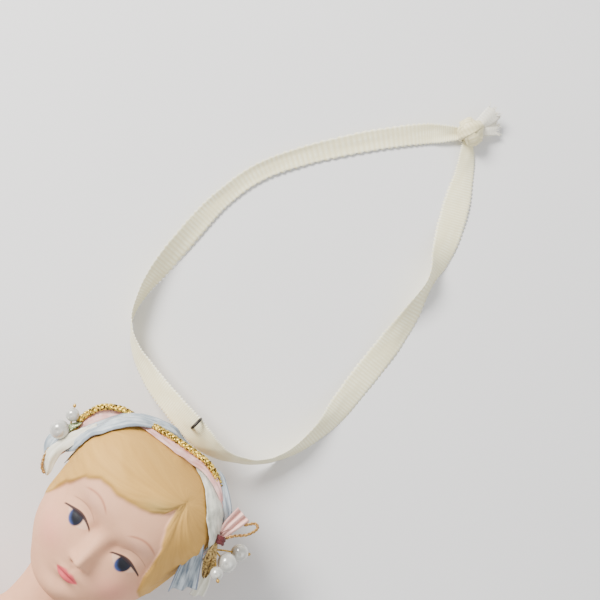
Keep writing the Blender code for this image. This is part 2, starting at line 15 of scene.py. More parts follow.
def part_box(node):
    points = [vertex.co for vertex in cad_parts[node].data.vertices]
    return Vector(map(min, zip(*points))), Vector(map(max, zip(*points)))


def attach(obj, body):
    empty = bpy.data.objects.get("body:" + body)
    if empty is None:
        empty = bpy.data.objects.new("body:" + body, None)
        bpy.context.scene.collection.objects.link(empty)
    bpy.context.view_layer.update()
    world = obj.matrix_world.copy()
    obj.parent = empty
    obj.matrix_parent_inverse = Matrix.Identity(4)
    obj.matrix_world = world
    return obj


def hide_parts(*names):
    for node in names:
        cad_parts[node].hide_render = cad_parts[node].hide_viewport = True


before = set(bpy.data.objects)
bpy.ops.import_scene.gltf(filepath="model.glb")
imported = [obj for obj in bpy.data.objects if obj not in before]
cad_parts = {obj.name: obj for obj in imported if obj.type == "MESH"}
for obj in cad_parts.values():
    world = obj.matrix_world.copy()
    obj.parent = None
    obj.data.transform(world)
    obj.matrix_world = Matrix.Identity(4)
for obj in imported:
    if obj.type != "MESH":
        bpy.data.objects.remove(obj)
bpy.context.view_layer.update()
MM = 0.001

# ------------------------------------------------------------------ camera and table

camera_data = bpy.data.cameras.new("camera")
camera_data.lens = 60.0
camera_data.sensor_width = 36.0
camera_data.clip_start = 0.01
camera = bpy.data.objects.new("camera", camera_data)
camera.location = (-0.00756, 0.09175, 0.300)
camera.rotation_euler = (0.0, 0.0, math.radians(45.0))
bpy.context.collection.objects.link(camera)
bpy.context.scene.camera = camera


def light(name, place, aim, size, power, colour):
    """A square soft light at place, turned to aim."""
    data = bpy.data.lights.new(name, "AREA")
    data.shape = "SQUARE"
    data.size = size
    data.energy = power
    data.color = colour
    obj = bpy.data.objects.new(name, data)
    obj.location = place
    way = Vector(aim) - Vector(place)
    obj.rotation_euler = way.to_track_quat("-Z", "Y").to_euler()
    bpy.context.collection.objects.link(obj)


light("key", (-0.54, 0.19, 0.48), (0.0, 0.06, 0.0), 0.28, 12.5, (1.0, 0.985, 0.96))
light("fill", (0.45, 0.25, 0.55), (0.0, 0.06, 0.0), 0.60, 1.6, (0.95, 0.97, 1.0))
world = bpy.data.worlds.new("studio")
world.use_nodes = True
world.node_tree.nodes["Background"].inputs["Color"].default_value = (0.93, 0.94, 0.96, 1.0)
world.node_tree.nodes["Background"].inputs["Strength"].default_value = 0.83
bpy.context.scene.world = world

# ------------------------------------------------------------------ finishes


def tint(code):
    """A colour written as six hex digits, as light values."""
    out = []
    for i in (0, 2, 4):
        level = int(code[i:i + 2], 16) / 255.0
        out.append(level / 12.92 if level <= 0.04045 else ((level + 0.055) / 1.055) ** 2.4)
    return (*out, 1.0)


class Number:
    """A number that changes over a surface, for use in sums."""

    def __init__(self, finish, socket):
        self.finish = finish
        self.socket = socket

    def sum(self, operation, *values):
        return self.finish.add("ShaderNodeMath", {"operation": operation},
                               dict(enumerate((self,) + values)))

    def __add__(self, other):
        return self.sum("ADD", other)

    __radd__ = __add__

    def __sub__(self, other):
        return self.sum("SUBTRACT", other)

    def __rsub__(self, other):
        return (self * -1.0) + other

    def __mul__(self, other):
        return self.sum("MULTIPLY", other)

    __rmul__ = __mul__

    def __truediv__(self, other):
        return self.sum("DIVIDE", other)

    def size(self):
        return self.sum("ABSOLUTE")

    def sine(self):
        return self.sum("SINE")

    def squared(self):
        return self * self

    def hill(self, centre, width):
        """A smooth hill of height 1 about centre."""
        return ((self - centre) / width).squared().sum("MULTIPLY", -1.0).sum("EXPONENT")

    def rise(self, low, high):
        """0 below low, 1 above high, smooth between."""
        return self.finish.add(
            "ShaderNodeMapRange", {"interpolation_type": "SMOOTHSTEP"},
            {"Value": self, "From Min": low, "From Max": high, "To Min": 0.0, "To Max": 1.0},
        )


class Finish:
    """A material under construction; colour is its paint so far."""

    def __init__(self, name, roughness, metallic=0.0, **constants):
        self.material = bpy.data.materials.new(name)
        self.material.use_nodes = True
        self.tree = self.material.node_tree
        self.shader = self.tree.nodes["Principled BSDF"]
        self.colour = None
        self.set("Roughness", roughness)
        self.set("Metallic", metallic)
        for socket, value in constants.items():
            self.set(socket.replace("_", " "), value)

    def set(self, socket, value):
        if isinstance(value, Number):
            self.tree.links.new(value.socket, self.shader.inputs[socket])
        else:
            self.shader.inputs[socket].default_value = value

    def add(self, kind, settings=None, inputs=None, output=0):
        """Any node: its settings first, then its sockets, by name or by place."""
        node = self.tree.nodes.new(kind)
        for key, value in (settings or {}).items():
            setattr(node, key, value)
        for key, value in (inputs or {}).items():
            if isinstance(value, Number):
                self.tree.links.new(value.socket, node.inputs[key])
            else:
                node.inputs[key].default_value = value
        return Number(self, node.outputs[output])

    def place(self):
        """Object coordinates as three numbers in millimetres."""
        here = self.add("ShaderNodeTexCoord", output="Object")
        big = self.add("ShaderNodeVectorMath", {"operation": "SCALE"}, {0: here, "Scale": 1000.0})
        return [self.add("ShaderNodeSeparateXYZ", None, {0: big}, i) for i in range(3)]

    def weave_place(self):
        """The piece's own map in millimetres: across and along."""
        own = self.add("ShaderNodeUVMap", {"uv_map": "cloth"})
        return [self.add("ShaderNodeSeparateXYZ", None, {0: own}, i) for i in range(2)]

    def attribute(self, name):
        return self.add("ShaderNodeAttribute", {"attribute_name": name}, None, "Fac")

    def joined(self, x, y, z=0.0):
        return self.add("ShaderNodeCombineXYZ", None, {0: x, 1: y, 2: z})

    def noise(self, where, scale=1.0, detail=3.0, roughness=0.55):
        return self.add("ShaderNodeTexNoise", None, {
            "Vector": where, "Scale": scale, "Detail": detail, "Roughness": roughness}, 0)

    def mix(self, share, first, second):
        """A blend of two colours, as hex digits or as links."""
        colours = [tint(c) if isinstance(c, str) else c for c in (first, second)]
        return self.add("ShaderNodeMix", {"data_type": "RGBA"},
                        {0: share, 6: colours[0], 7: colours[1]}, 2)

    def paint(self, share, colour):
        """Another coat of paint over the colour so far."""
        self.colour = self.mix(share, self.colour, colour)

    def bumps(self, height, distance, strength=1.0):
        """Fine relief: height in shares of distance, which is in metres."""
        self.set("Normal", self.add("ShaderNodeBump", None, {
            "Height": height, "Distance": distance, "Strength": strength}))


# ------------------------------------------------------------------ shaping helpers


def hill(x, centre, width):
    """A smooth hill of height 1."""
    return math.exp(-(((x - centre) / width) ** 2))


def rise(x, low, high):
    """0 below low, 1 above high, smooth between."""
    t = min(1.0, max(0.0, (x - low) / (high - low)))
    return t * t * (3.0 - 2.0 * t)


def blend(a, b, share):
    return a + (b - a) * share


def smooth_row(rows, t):
    """The row of numbers at t, from 0 to 1, on a smooth curve through rows."""
    place = min(max(t, 0.0), 1.0) * (len(rows) - 1)
    i = min(int(place), len(rows) - 2)
    f = place - i
    a = rows[max(i - 1, 0)]
    b, c = rows[i], rows[i + 1]
    d = rows[min(i + 2, len(rows) - 1)]
    out = []
    for p, q, r, s in zip(a, b, c, d):
        cubic = (2 * p - 5 * q + 4 * r - s) * f * f + (3 * (q - r) + s - p) * f ** 3
        out.append(q + 0.5 * ((r - p) * f + cubic))
    return out


def between(points, x):
    """The height at x of a smooth line through points, which are (x, height) pairs."""
    if x <= points[0][0]:
        return points[0][1]
    for (x0, y0), (x1, y1) in zip(points, points[1:]):
        if x <= x1:
            return blend(y0, y1, rise(x, x0, x1) * 0.5 + 0.5 * (x - x0) / (x1 - x0))
    return points[-1][1]


def make(name, bm, finish, body, slot, replaced=(), merge=1e-6):
    """A finished piece from a bmesh: joined, turned outwards, smooth, painted and riding."""
    if merge:
        bmesh.ops.remove_doubles(bm, verts=bm.verts, dist=merge)
    bmesh.ops.recalc_face_normals(bm, faces=bm.faces)
    mesh = bpy.data.meshes.new(name)
    bm.to_mesh(mesh)
    bm.free()
    mesh.shade_smooth()
    mesh.materials.append(finish.material)
    obj = bpy.data.objects.new(name, mesh)
    bpy.context.collection.objects.link(obj)
    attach(obj, body)
    if replaced:
        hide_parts(*replaced)
    return obj


def cloth_grid(bm, across, along, place, width, length):
    """A strip of cloth: place(u, v) is its surface, u from -1 to 1 across and v from 0 to 1 along.
    width and length are in millimetres, for the weave."""
    layer = bm.loops.layers.uv.get("cloth") or bm.loops.layers.uv.new("cloth")
    made = bmesh.ops.create_grid(bm, x_segments=across, y_segments=along, size=1.0)["verts"]
    shares = {}
    for v in made:
        shares[v] = (v.co.x, 0.5 * (v.co.y + 1.0))
    for v, (u, s) in shares.items():
        v.co = place(u, s)
    for face in {f for v in made for f in v.link_faces}:
        for loop in face.loops:
            u, s = shares[loop.vert]
            loop[layer].uv = (u * width / 2, s * length)
    return made


def tube(bm, points, radius, sides=8):
    """A round bar along points; radius is a number or a function of the share along it."""
    points = [Vector(p) for p in points]
    count = len(points)
    side = None
    rings = []
    for i, p in enumerate(points):
        way = (points[min(i + 1, count - 1)] - points[max(i - 1, 0)]).normalized()
        if side is None:
            side = way.orthogonal().normalized()
        side = (side - way * side.dot(way)).normalized()
        up = way.cross(side)
        r = radius(i / (count - 1)) if callable(radius) else radius
        turns = [2.0 * math.pi * k / sides for k in range(sides)]
        rings.append([bm.verts.new(p + (side * math.cos(a) + up * math.sin(a)) * r) for a in turns])
    for low, high in zip(rings, rings[1:]):
        edges = []
        for ring in (low, high):
            for a, b in zip(ring, ring[1:] + ring[:1]):
                edges.append(bm.edges.get((a, b)) or bm.edges.new((a, b)))
        bmesh.ops.bridge_loops(bm, edges=edges)
    bm.faces.new(rings[0])
    bm.faces.new(rings[-1])


def thicken(obj, thickness):
    """Give a cloth piece its thickness."""
    solid = obj.modifiers.new("thickness", "SOLIDIFY")
    solid.thickness = thickness
    solid.offset = 0.0


# ------------------------------------------------------------------ table

TABLE = Finish("table", 0.75)
x, y, z = TABLE.place()
cloud = TABLE.noise(TABLE.joined(x, y), 0.012, 2.0)
TABLE.set("Base Color", TABLE.mix(cloud, "DCDBDA", "E4E3E2"))
floor = bmesh.new()
bmesh.ops.create_grid(floor, x_segments=4, y_segments=4, size=1.5)
floor_mesh = bpy.data.meshes.new("table")
floor.to_mesh(floor_mesh)
floor.free()
floor_mesh.materials.append(TABLE.material)
table = bpy.data.objects.new("table", floor_mesh)
bpy.context.collection.objects.link(table)

# ------------------------------------------------------------------ hanging ribbon

# The ribbon's route from the knot, through the wire eye and back to the knot
RIBBON_ROUTE = [
    (-0.0080, 0.1615, 0.0036), (-0.0125, 0.1572, 0.0030), (-0.0173, 0.1522, 0.0019),
    (-0.0261, 0.1407, 0.0017), (-0.0360, 0.1253, 0.0017), (-0.0430, 0.1110, 0.0017),
    (-0.0455, 0.0970, 0.0018), (-0.0452, 0.0840, 0.0018), (-0.0438, 0.0700, 0.0024),
    (-0.0420, 0.0600, 0.0032), (-0.0385, 0.0520, 0.0042), (-0.0320, 0.0474, 0.0060),
    (-0.0246, 0.0456, 0.0092), (-0.0170, 0.0450, 0.0130), (-0.0096, 0.0448, 0.0161),
    (-0.0036, 0.0446, 0.0172), (0.0012, 0.0441, 0.0169), (0.0052, 0.0439, 0.0156),
    (0.0092, 0.0444, 0.0131), (0.0132, 0.0461, 0.0096), (0.0172, 0.0488, 0.0064),
    (0.0208, 0.0533, 0.0042), (0.0233, 0.0601, 0.0031), (0.0243, 0.0700, 0.0021),
    (0.0234, 0.0790, 0.0018), (0.0220, 0.0900, 0.0017), (0.0207, 0.1010, 0.0018),
    (0.0190, 0.1110, 0.0020), (0.0163, 0.1225, 0.0028), (0.0130, 0.1308, 0.0026),
    (0.0089, 0.1389, 0.0020), (0.0048, 0.1461, 0.0018), (0.0006, 0.1532, 0.0022),
    (-0.0030, 0.1580, 0.0032), (-0.0060, 0.1612, 0.0036),
]
RIBBON_WIDTH = 7.0
RIBBON_THICKNESS = 0.16 * MM
RIB_PITCH = 0.85
PICOT_PITCH = 1.25
RIBBON_STEPS = 1300
# Below 5 mm the ribbon sags by up to this much, as far as the table lets it
RIBBON_SAG = 0.0014
TABLE_GAP = 0.25 * MM
# At each point of the route: roll in degrees, share of the full width, curl of the edges, and how
# plainly the ribs show
RIBBON_LIE = [
    (34, 0.45, 0.9, 0.1), (20, 0.72, 0.7, 0.2), (14, 0.84, 0.4, 0.3), (12, 0.84, 0.35, 0.7),
    (14, 0.78, 0.4, 1.0), (18, 0.74, 0.45, 1.0), (20, 0.76, 0.4, 1.0), (28, 0.90, 0.3, 0.9),
    (50, 1.0, 0.15, 0.6), (76, 1.0, 0.1, 0.3), (97, 1.0, 0.1, 0.2), (120, 1.0, 0.1, 0.15),
    (144, 1.0, 0.1, 0.1), (158, 1.0, 0.1, 0.1), (162, 1.04, 0.1, 0.1), (160, 1.10, 0.15, 0.1),
    (152, 1.12, 0.25, 0.1), (141, 1.06, 0.35, 0.1), (128, 0.98, 0.4, 0.1), (117, 0.92, 0.3, 0.1),
    (111, 0.96, 0.2, 0.1), (109, 1.0, 0.1, 0.1), (115, 1.0, 0.1, 0.15), (135, 1.0, 0.1, 0.2),
    (158, 1.04, 0.15, 0.3), (168, 1.06, 0.15, 0.35), (162, 1.04, 0.1, 0.4), (142, 1.0, 0.1, 0.4),
    (112, 1.0, 0.1, 0.5), (148, 1.06, 0.1, 0.9), (176, 1.12, 0.1, 1.0), (182, 1.08, 0.1, 1.0),
    (174, 0.80, 0.4, 0.5), (160, 0.66, 0.7, 0.2), (150, 0.45, 0.9, 0.1),
]


def ribbed_satin(name, base, shade, edge):
    """Ribbed ribbon: fine cross ribs with painted shade between them, a soft sheen, and a thread
    edge.
    """
    finish = Finish(name, 0.48, Sheen_Weight=0.35, Sheen_Roughness=0.4, Specular_IOR_Level=0.4)
    across, along = finish.weave_place()
    rib = (along * (2.0 * math.pi / RIB_PITCH)).sine() * 0.5 + 0.5
    warp = finish.noise(finish.joined(across * 9.0, along * 0.8), 1.0, 2.0)
    plain = finish.noise(finish.joined(across * 0.35, along * 0.10), 1.0, 2.0).rise(0.35, 0.65)
    # Painted shade: the shade tone darkens the troughs between the ribs, most where the ribs show
    # plainly.
    body = finish.mix(rib * (plain * 0.50 + 0.22) + warp * 0.22 + 0.14, shade, base)
    rim = across.size().rise(RIBBON_WIDTH / 2 - 0.55, RIBBON_WIDTH / 2 - 0.1)
    picot = (along * (2.0 * math.pi / PICOT_PITCH)).sine() * 0.5 + 0.5
    finish.set("Base Color", finish.mix(rim * picot * 0.7, body, tint(edge)))
    finish.bumps(rib * plain * 0.7 + warp * 0.4, 0.00007, 0.8)
    return finish


HANGING_RIBBON = ribbed_satin("hanging_ribbon", "FFFBD9", "E8DCAA", "FFFDF0")


def ribbon_frames():
    """The middle, width direction and normal of the ribbon along its route, with its lie."""
    lies = [smooth_row(RIBBON_LIE, i / RIBBON_STEPS) for i in range(RIBBON_STEPS + 1)]
    middles = []
    for i, lie in enumerate(lies):
        place = Vector(smooth_row(RIBBON_ROUTE, i / RIBBON_STEPS))
        half = 0.5 * RIBBON_WIDTH * MM * lie[1] * abs(math.sin(math.radians(lie[0])))
        lowered = place.z - RIBBON_SAG * rise(place.z, 0.0050, 0.0030)
        place.z = max(lowered, half + TABLE_GAP)
        middles.append(place)
    frames = []
    for i, (middle, lie) in enumerate(zip(middles, lies)):
        way = (middles[min(i + 1, RIBBON_STEPS)] - middles[max(i - 1, 0)]).normalized()
        flat = way.cross(Vector((0.0, 0.0, 1.0))).normalized()
        up = flat.cross(way)
        roll = math.radians(lie[0])
        wide = flat * math.cos(roll) + up * math.sin(roll)
        frames.append((middle, wide, wide.cross(way), lie))
    return frames


FRAMES = ribbon_frames()
RIBBON_LENGTH = sum((b[0] - a[0]).length for a, b in zip(FRAMES, FRAMES[1:])) / MM


def ribbon_surface(u, s):
    middle, wide, normal, (roll, share, curl, ribs) = FRAMES[round(s * RIBBON_STEPS)]
    run = s * RIBBON_LENGTH
    half = 0.5 * RIBBON_WIDTH * share
    if abs(u) > 0.99:
        half += 0.44 * abs(math.sin(math.pi * run / PICOT_PITCH)) - 0.12
    height = curl * half * 0.35 * u * u
    uneven = 0.6 + 0.8 * noise.noise(Vector((run * 0.2, u, 9.0)))
    height += 0.095 * ribs * uneven * math.sin(2.0 * math.pi * run / RIB_PITCH)
    height += 0.16 * noise.noise(Vector((u * 1.3, run * 0.16, 4.0)))
    half *= 1.0 + 0.03 * noise.noise(Vector((run * 0.3, u * 0.5, 2.0)))
    return middle + wide * (u * half * MM) + normal * (height * MM)


ribbon_bm = bmesh.new()
cloth_grid(ribbon_bm, 12, RIBBON_STEPS, ribbon_surface, RIBBON_WIDTH, RIBBON_LENGTH)
ribbon = make("ribbon", ribbon_bm, HANGING_RIBBON, "hanger", "hanging_ribbon", ["hanger_ribbon"])
thicken(ribbon, RIBBON_THICKNESS)

# ------------------------------------------------------------------ knot and cut ends

KNOT_LOW, KNOT_HIGH = (Vector(corner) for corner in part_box("ribbon_knot"))
KNOT_PLACE = (KNOT_LOW + KNOT_HIGH) / 2
KNOT_HALF = (KNOT_HIGH - KNOT_LOW) / 2


def knot_piece():
    """A tight overhand knot: a crumpled heart with two turns of ribbon drawn over it."""
    bm = bmesh.new()
    bmesh.ops.create_icosphere(bm, subdivisions=5, radius=1.0)
    for v in bm.verts:
        p = v.co.copy()
        turn = math.atan2(p.y, p.x)
        fold = 0.08 * math.sin(5.0 * turn + 4.0 * p.z) + 0.16 * noise.noise(p * 1.8)
        v.co = Vector([p[i] * KNOT_HALF[i] * (1.0 + fold) for i in range(3)])
    turns = [((0.35, 0.9, 0.25), 1.14, 3.2), ((0.95, -0.25, 0.2), 1.20, 2.6)]
    for axis, reach, width in turns:
        axis = Vector(axis).normalized()
        side = axis.orthogonal().normalized()
        up = axis.cross(side)

        def wrap(u, s):
            turn = 2.0 * math.pi * s
            way = side * math.cos(turn) + up * math.sin(turn)
            edge = 1.0 - 0.10 * u * u + 0.03 * math.sin(3.0 * turn + 4.0 * u)
            out = Vector([way[i] * KNOT_HALF[i] * reach * edge for i in range(3)])
            crumple = 1.0 + 0.25 * math.sin(2.0 * turn)
            return out + axis * (u * 0.5 * width * MM * crumple)

        cloth_grid(bm, 8, 60, wrap, 3.0, 20.0)
    bmesh.ops.translate(bm, vec=KNOT_PLACE, verts=bm.verts)
    return make("knot", bm, KNOT_SHADED_RIBBON, "hanger", "hanging_ribbon", ["ribbon_knot"], 1e-7)


# The knot's ribbon is a darker copy of the hanging ribbon's colours: painted shade over the whole
# knot.
KNOT_SHADED_RIBBON = ribbed_satin("painted_shade_knot_ribbon", "F8EFC8", "CFC28E", "FAF4DA")


def cut_end(name, node, reach, lean, seed):
    """A cut end of the ribbon, creased where it leaves the knot and frayed at its tip."""
    root = KNOT_PLACE + Vector(reach) * 0.18 * MM
    tip = KNOT_PLACE + Vector(reach) * MM
    way = (tip - root).normalized()
    side = way.cross(Vector((0.3 * lean, 0.0, 1.0))).normalized()
    up = side.cross(way)
    draw = random.Random(seed)
    bm = bmesh.new()

    def surface(u, s):
        half = blend(1.7, 2.5, rise(s, 0.0, 0.9)) * MM
        lift = (0.45 * math.cos(2.6 * u) * (1.0 - 0.5 * s) + 0.5 * math.sin(math.pi * s)) * MM
        end = s * (1.0 + 0.05 * math.sin(5.0 * u + seed))
        return root + (tip - root) * end + side * (u * half) + up * lift

    cloth_grid(bm, 10, 20, surface, 4.6, (tip - root).length / MM)
    for _ in range(26):
        u = draw.uniform(-0.98, 0.98)
        start = surface(u, 0.97)
        stretch = draw.uniform(0.4, 1.5) * MM
        spread = side * (u * 0.5 + draw.uniform(-0.5, 0.5)) + up * draw.uniform(-0.3, 0.5)
        bend = side * draw.uniform(-0.3, 0.3) + up * draw.uniform(-0.2, 0.3)
        path = []
        for i in range(5):
            f = i / 4
            place = start + (way + spread * f + bend * math.sin(math.pi * f)) * (stretch * f)
            place.z = max(place.z, 0.15 * MM)
            path.append(place)
        tube(bm, path, 0.055 * MM, 5)
    end = make(name, bm, FRAYED_RIBBON, "hanger", "hanging_ribbon", [node], 0)
    thicken(end, 0.1 * MM)
    return end


FRAYED_RIBBON = ribbed_satin("frayed_ribbon", "F6F3E6", "E0D9C2", "F8F6EE")
knot = knot_piece()
ends = [
    cut_end("cut_end_short", "ribbon_tail_short", (0.9, 9.0, 0.8), 0.9, 3),
    cut_end("cut_end_long", "ribbon_tail_long", (4.4, 6.8, -1.4), 0.2, 8),
]
[knot] + ends

# ------------------------------------------------------------------ bust

# The head's own frame: CENTRE is level with the eyes, UP runs to the crown and FRONT to the face
HEAD_BOW = math.radians(15.0)
UP = Vector((0.0, math.cos(HEAD_BOW), math.sin(HEAD_BOW)))
FRONT = Vector((0.0, -math.sin(HEAD_BOW), math.cos(HEAD_BOW)))
HEAD_HALF_WIDTH, CROWN_HEIGHT, CHIN_DROP = 21.8, 21.5, 25.6
FACE_DEPTH, NAPE_DEPTH = 20.6, 25.7
NECK_RADIUS, NECK_LENGTH = 8.8, 24.0
BUST_HEIGHT, BUST_HALF_WIDTH, BUST_FRONT, BUST_BACK = 17.3, 30.0, 16.5, 17.5
WALL, VENT_RADIUS = 2.6, 4.0
ROLL_DROP = 0.7
# How deep in the hair a place is where there is none, and under the crown
BARE, COVERED = -9.0, 9.0

SHELL_LOW = Vector(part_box("bust_shell")[0]) / MM
BUST_TOP_Y = -CHIN_DROP * math.cos(HEAD_BOW) - NECK_LENGTH
BASE_Y = BUST_TOP_Y - BUST_HEIGHT
CENTRE = Vector((0.0, SHELL_LOW.y - BASE_Y, NAPE_DEPTH * math.cos(HEAD_BOW) + ROLL_DROP))
AXIS_DROP = BUST_BACK - CENTRE.z

# Each row: share of the height, of the half width, of the front and of the back
BUST_ROWS = [
    (0.00, 0.72, 0.86, 0.985), (0.10, 0.80, 0.94, 1.0), (0.30, 0.93, 1.0, 1.0),
    (0.50, 1.00, 0.99, 1.0), (0.66, 0.98, 0.90, 0.97), (0.80, 0.86, 0.76, 0.90),
    (0.92, 0.60, 0.62, 0.76), (1.00, 0.40, 0.55, 0.64),
]
# Each row: share of the neck from its foot up, of the bow, and of the neck's radius
NECK_ROWS = [
    (0.06, 0.0, 1.14, 1.02, 1.10), (0.22, 0.0, 0.93, 0.97, 1.00), (0.52, 0.10, 0.94, 0.97, 1.02),
    (0.82, 0.40, 1.08, 0.98, 1.06),
]
# Each row: height against the chin's or the crown's, shares of half width, front and back, and
# how far the section's middle lies behind the head's, against the neck's radius
HEAD_ROWS = [
    (-1.02, 0.46, 0.42, 0.38, 0.36), (-1.00, 0.49, 0.66, 0.42, 0.18),
    (-0.95, 0.57, 0.82, 0.45, 0.0), (-0.80, 0.70, 0.92, 0.55, 0.0),
    (-0.62, 0.845, 0.975, 0.68, 0.0), (-0.42, 0.92, 1.0, 0.86, 0.0), (-0.20, 0.95, 0.99, 0.97, 0.0),
    (0.00, 0.97, 0.965, 1.00, 0.0), (0.28, 1.0, 0.99, 0.985, 0.0), (0.52, 0.985, 0.95, 0.91, 0.0),
    (0.72, 0.89, 0.85, 0.79, 0.0), (0.87, 0.72, 0.68, 0.62, 0.0), (0.96, 0.46, 0.44, 0.40, 0.0),
    (1.00, 0.10, 0.10, 0.10, 0.0),
]
# The edge of the hair over the face, in millimetres: across and up from between the eyes
HAIRLINE = [
    (-24.0, -15.0), (-19.6, -10.5), (-17.6, -0.5), (-14.6, 6.9), (-11.3, 10.4), (-8.1, 11.3),
    (-5.8, 11.3), (-3.1, 12.1), (0.3, 13.0), (3.6, 13.9), (6.5, 15.4), (8.3, 17.6), (9.9, 13.2),
    (12.6, 8.8), (14.2, 2.9), (15.2, -3.0), (16.8, -8.3), (19.2, -12.0), (24.0, -16.0),
]
PARTING = (9.2, 19.5)
EYE_X = 8.6


def sections(inset):
    """Every section of the bust, base to crown: middle, tilt, half width, front, back."""
    rows = []
    for share, w, f, b in BUST_ROWS:
        y = BASE_Y + inset + share * (BUST_HEIGHT - inset)
        rows.append((y, AXIS_DROP, 0.0, w * BUST_HALF_WIDTH, f * BUST_FRONT, b * BUST_BACK))
    chin_axis = -CHIN_DROP * math.sin(HEAD_BOW) - 0.35 * NECK_RADIUS
    for share, bow, w, f, b in NECK_ROWS:
        y = BUST_TOP_Y + share * NECK_LENGTH
        z = blend(AXIS_DROP, chin_axis, share)
        rows.append((y, z, bow * HEAD_BOW, w * NECK_RADIUS, f * NECK_RADIUS, b * NECK_RADIUS))
    for height, w, f, b, behind in HEAD_ROWS:
        up = height * (CHIN_DROP if height < 0 else CROWN_HEIGHT - inset)
        back = -behind * NECK_RADIUS
        y = up * math.cos(HEAD_BOW) - back * math.sin(HEAD_BOW)
        z = up * math.sin(HEAD_BOW) + back * math.cos(HEAD_BOW)
        rows.append((y, z, HEAD_BOW, w * HEAD_HALF_WIDTH, f * FACE_DEPTH, b * NAPE_DEPTH))
    return [(*row[:3], *(max(size - inset, 1.2) for size in row[3:])) for row in rows]


def hair_depth(x, up, out):
    """How far inside the edge of the hair a place on the head is: below 0 is skin."""
    front = (up - between(HAIRLINE, x)) * 0.6
    side = 5.0 + 0.45 * (up + 10.0) - out
    if up > -6.0:
        side -= (up + 6.0) * 1.0
    both = max(front, side) + 0.6 * math.exp(-abs(front - side) / 1.2)
    return min(both, (up + 21.5) * 1.2)


def flow_of(x, up, out):
    """Which lock of hair a place belongs to: the locks part above the right eye."""
    over = math.atan2(up - PARTING[1], x - PARTING[0])
    if over > 0.5 * math.pi:
        over -= 2.0 * math.pi
    behind = 1.3 * math.atan2(x, -out) + 0.16 * math.sin(up * 0.42)
    return blend(behind, over + 1.6, rise(out, -3.0, 7.0))


def face_relief(x, up):
    """How far the face stands out of its section, in millimetres."""
    s = abs(x)
    nose = 0.9 * hill(x, 0, 2.3) * rise(up, 4.0, -2.0) * rise(up, -9.8, -7.4)
    nose += 3.0 * hill(x, 0, 2.1) * rise(up, 1.0, -7.6) * rise(up, -9.9, -7.6)
    nose += 0.8 * hill(s, 2.3, 1.0) * hill(up, -8.5, 1.2)
    nose -= 0.7 * hill(s, 1.1, 0.5) * hill(up, -9.5, 0.5)
    socket = -1.5 * hill(s, 7.6, 4.2) * hill(up, 0.2, 3.2)
    socket -= 0.7 * hill(s, 3.6, 1.6) * hill(up, -0.4, 2.4)
    ball = 1.15 * hill(s, EYE_X, 3.6) * hill(up, -1.3, 2.3)
    lid_line = -0.15 - 0.085 * (s - 7.9) ** 2
    lid = 0.34 * rise(up, lid_line - 0.25, lid_line + 0.15) * hill(s, 8.4, 3.8) * hill(up, 0.6, 2.2)
    crease_line = 2.7 - 0.1 * (s - 8.6) ** 2
    crease = -0.22 * hill(up, crease_line, 0.45) * hill(s, 8.6, 4.0)
    brow = 0.55 * hill(s, 8.0, 5.5) * hill(up, 6.4, 2.6)
    cheek = 0.9 * hill(s, 11.0, 5.0) * hill(up, -8.5, 4.6)
    philtrum = -0.18 * hill(x, 0, 0.7) * hill(up, -11.3, 1.0)
    upper = 0.85 * hill(x, 0, 2.7) * hill(up, -12.9, 0.85) * (1.0 - 0.12 * hill(x, 0, 0.6))
    lower = 0.95 * hill(x, 0, 2.2) * hill(up, -14.7, 0.85)
    parting = -0.45 * hill(x, 0, 3.0) * hill(up, -13.75 - 0.03 * x * x, 0.35)
    under = -0.7 * hill(x, 0, 3.6) * hill(up, -17.0, 1.5)
    chin = 1.5 * hill(x, 0, 4.6) * hill(up, -20.6, 3.0)
    temple = -0.5 * hill(s, 17.0, 3.5) * hill(up, -2.0, 6.0)
    lips = philtrum + upper + lower + parting + under + chin
    return nose + socket + ball + lid + crease + brow + cheek + lips + temple


def hair_relief(x, up, out, inside):
    """Locks and rolls of the moulded hair over the skull, in millimetres."""
    flow = flow_of(x, up, out)
    waver = 0.25 * noise.noise(Vector((x * 0.12, up * 0.12, out * 0.12)))
    locks = 0.16 * math.sin(9.0 * flow + 9.0 * waver) + 0.09 * math.sin(23.0 * flow + 20.0 * waver)
    locks += 0.05 * math.sin(51.0 * flow + 30.0 * waver)
    lobe = 0.9 * hill(x, 5.5, 3.4) * hill(up, 17.6, 2.6)
    notch = -0.6 * hill(x - PARTING[0] + 0.15 * (up - PARTING[1]), 0, 0.9) * hill(up, 18.4, 3.0)
    low = rise(out, 2.0, -6.0)
    roll = low * (1.7 * hill(up, -17.6, 2.6) - 1.0 * hill(up, -12.6, 1.4))
    return rise(inside, 0.0, 1.6) * (locks + (lobe + notch) * rise(out, 0.0, 6.0) + roll)


def skin_recess(up, out):
    """How far the skin lies under the hair at its edge."""
    return 0.85 * rise(up, -14.0, -2.0) + 0.25 * rise(out, 10.0, 2.0) * rise(up, -4.0, -18.0)


def body_relief(x, y, out):
    """Collar bones, the hollow of the throat and the bust line, in millimetres."""
    drop = y - BUST_TOP_Y
    line = -1.6 - 0.10 * abs(x)
    bones = 0.7 * hill(drop, line, 1.3) * rise(abs(x), 1.5, 4.5) * rise(abs(x), 19.0, 12.0)
    throat = -0.8 * hill(x, 0, 2.2) * hill(drop, -1.4, 1.8)
    breast = 1.1 * hill(abs(x), 11.0, 6.0) * hill(drop, -11.0, 4.5)
    cleft = -0.5 * hill(x, 0, 3.2) * hill(drop, -11.0, 5.0)
    spine = -0.5 * hill(x, 0, 2.4) * rise(drop, 2.0, -8.0)
    return (bones + throat + breast + cleft) if out > 0 else spine


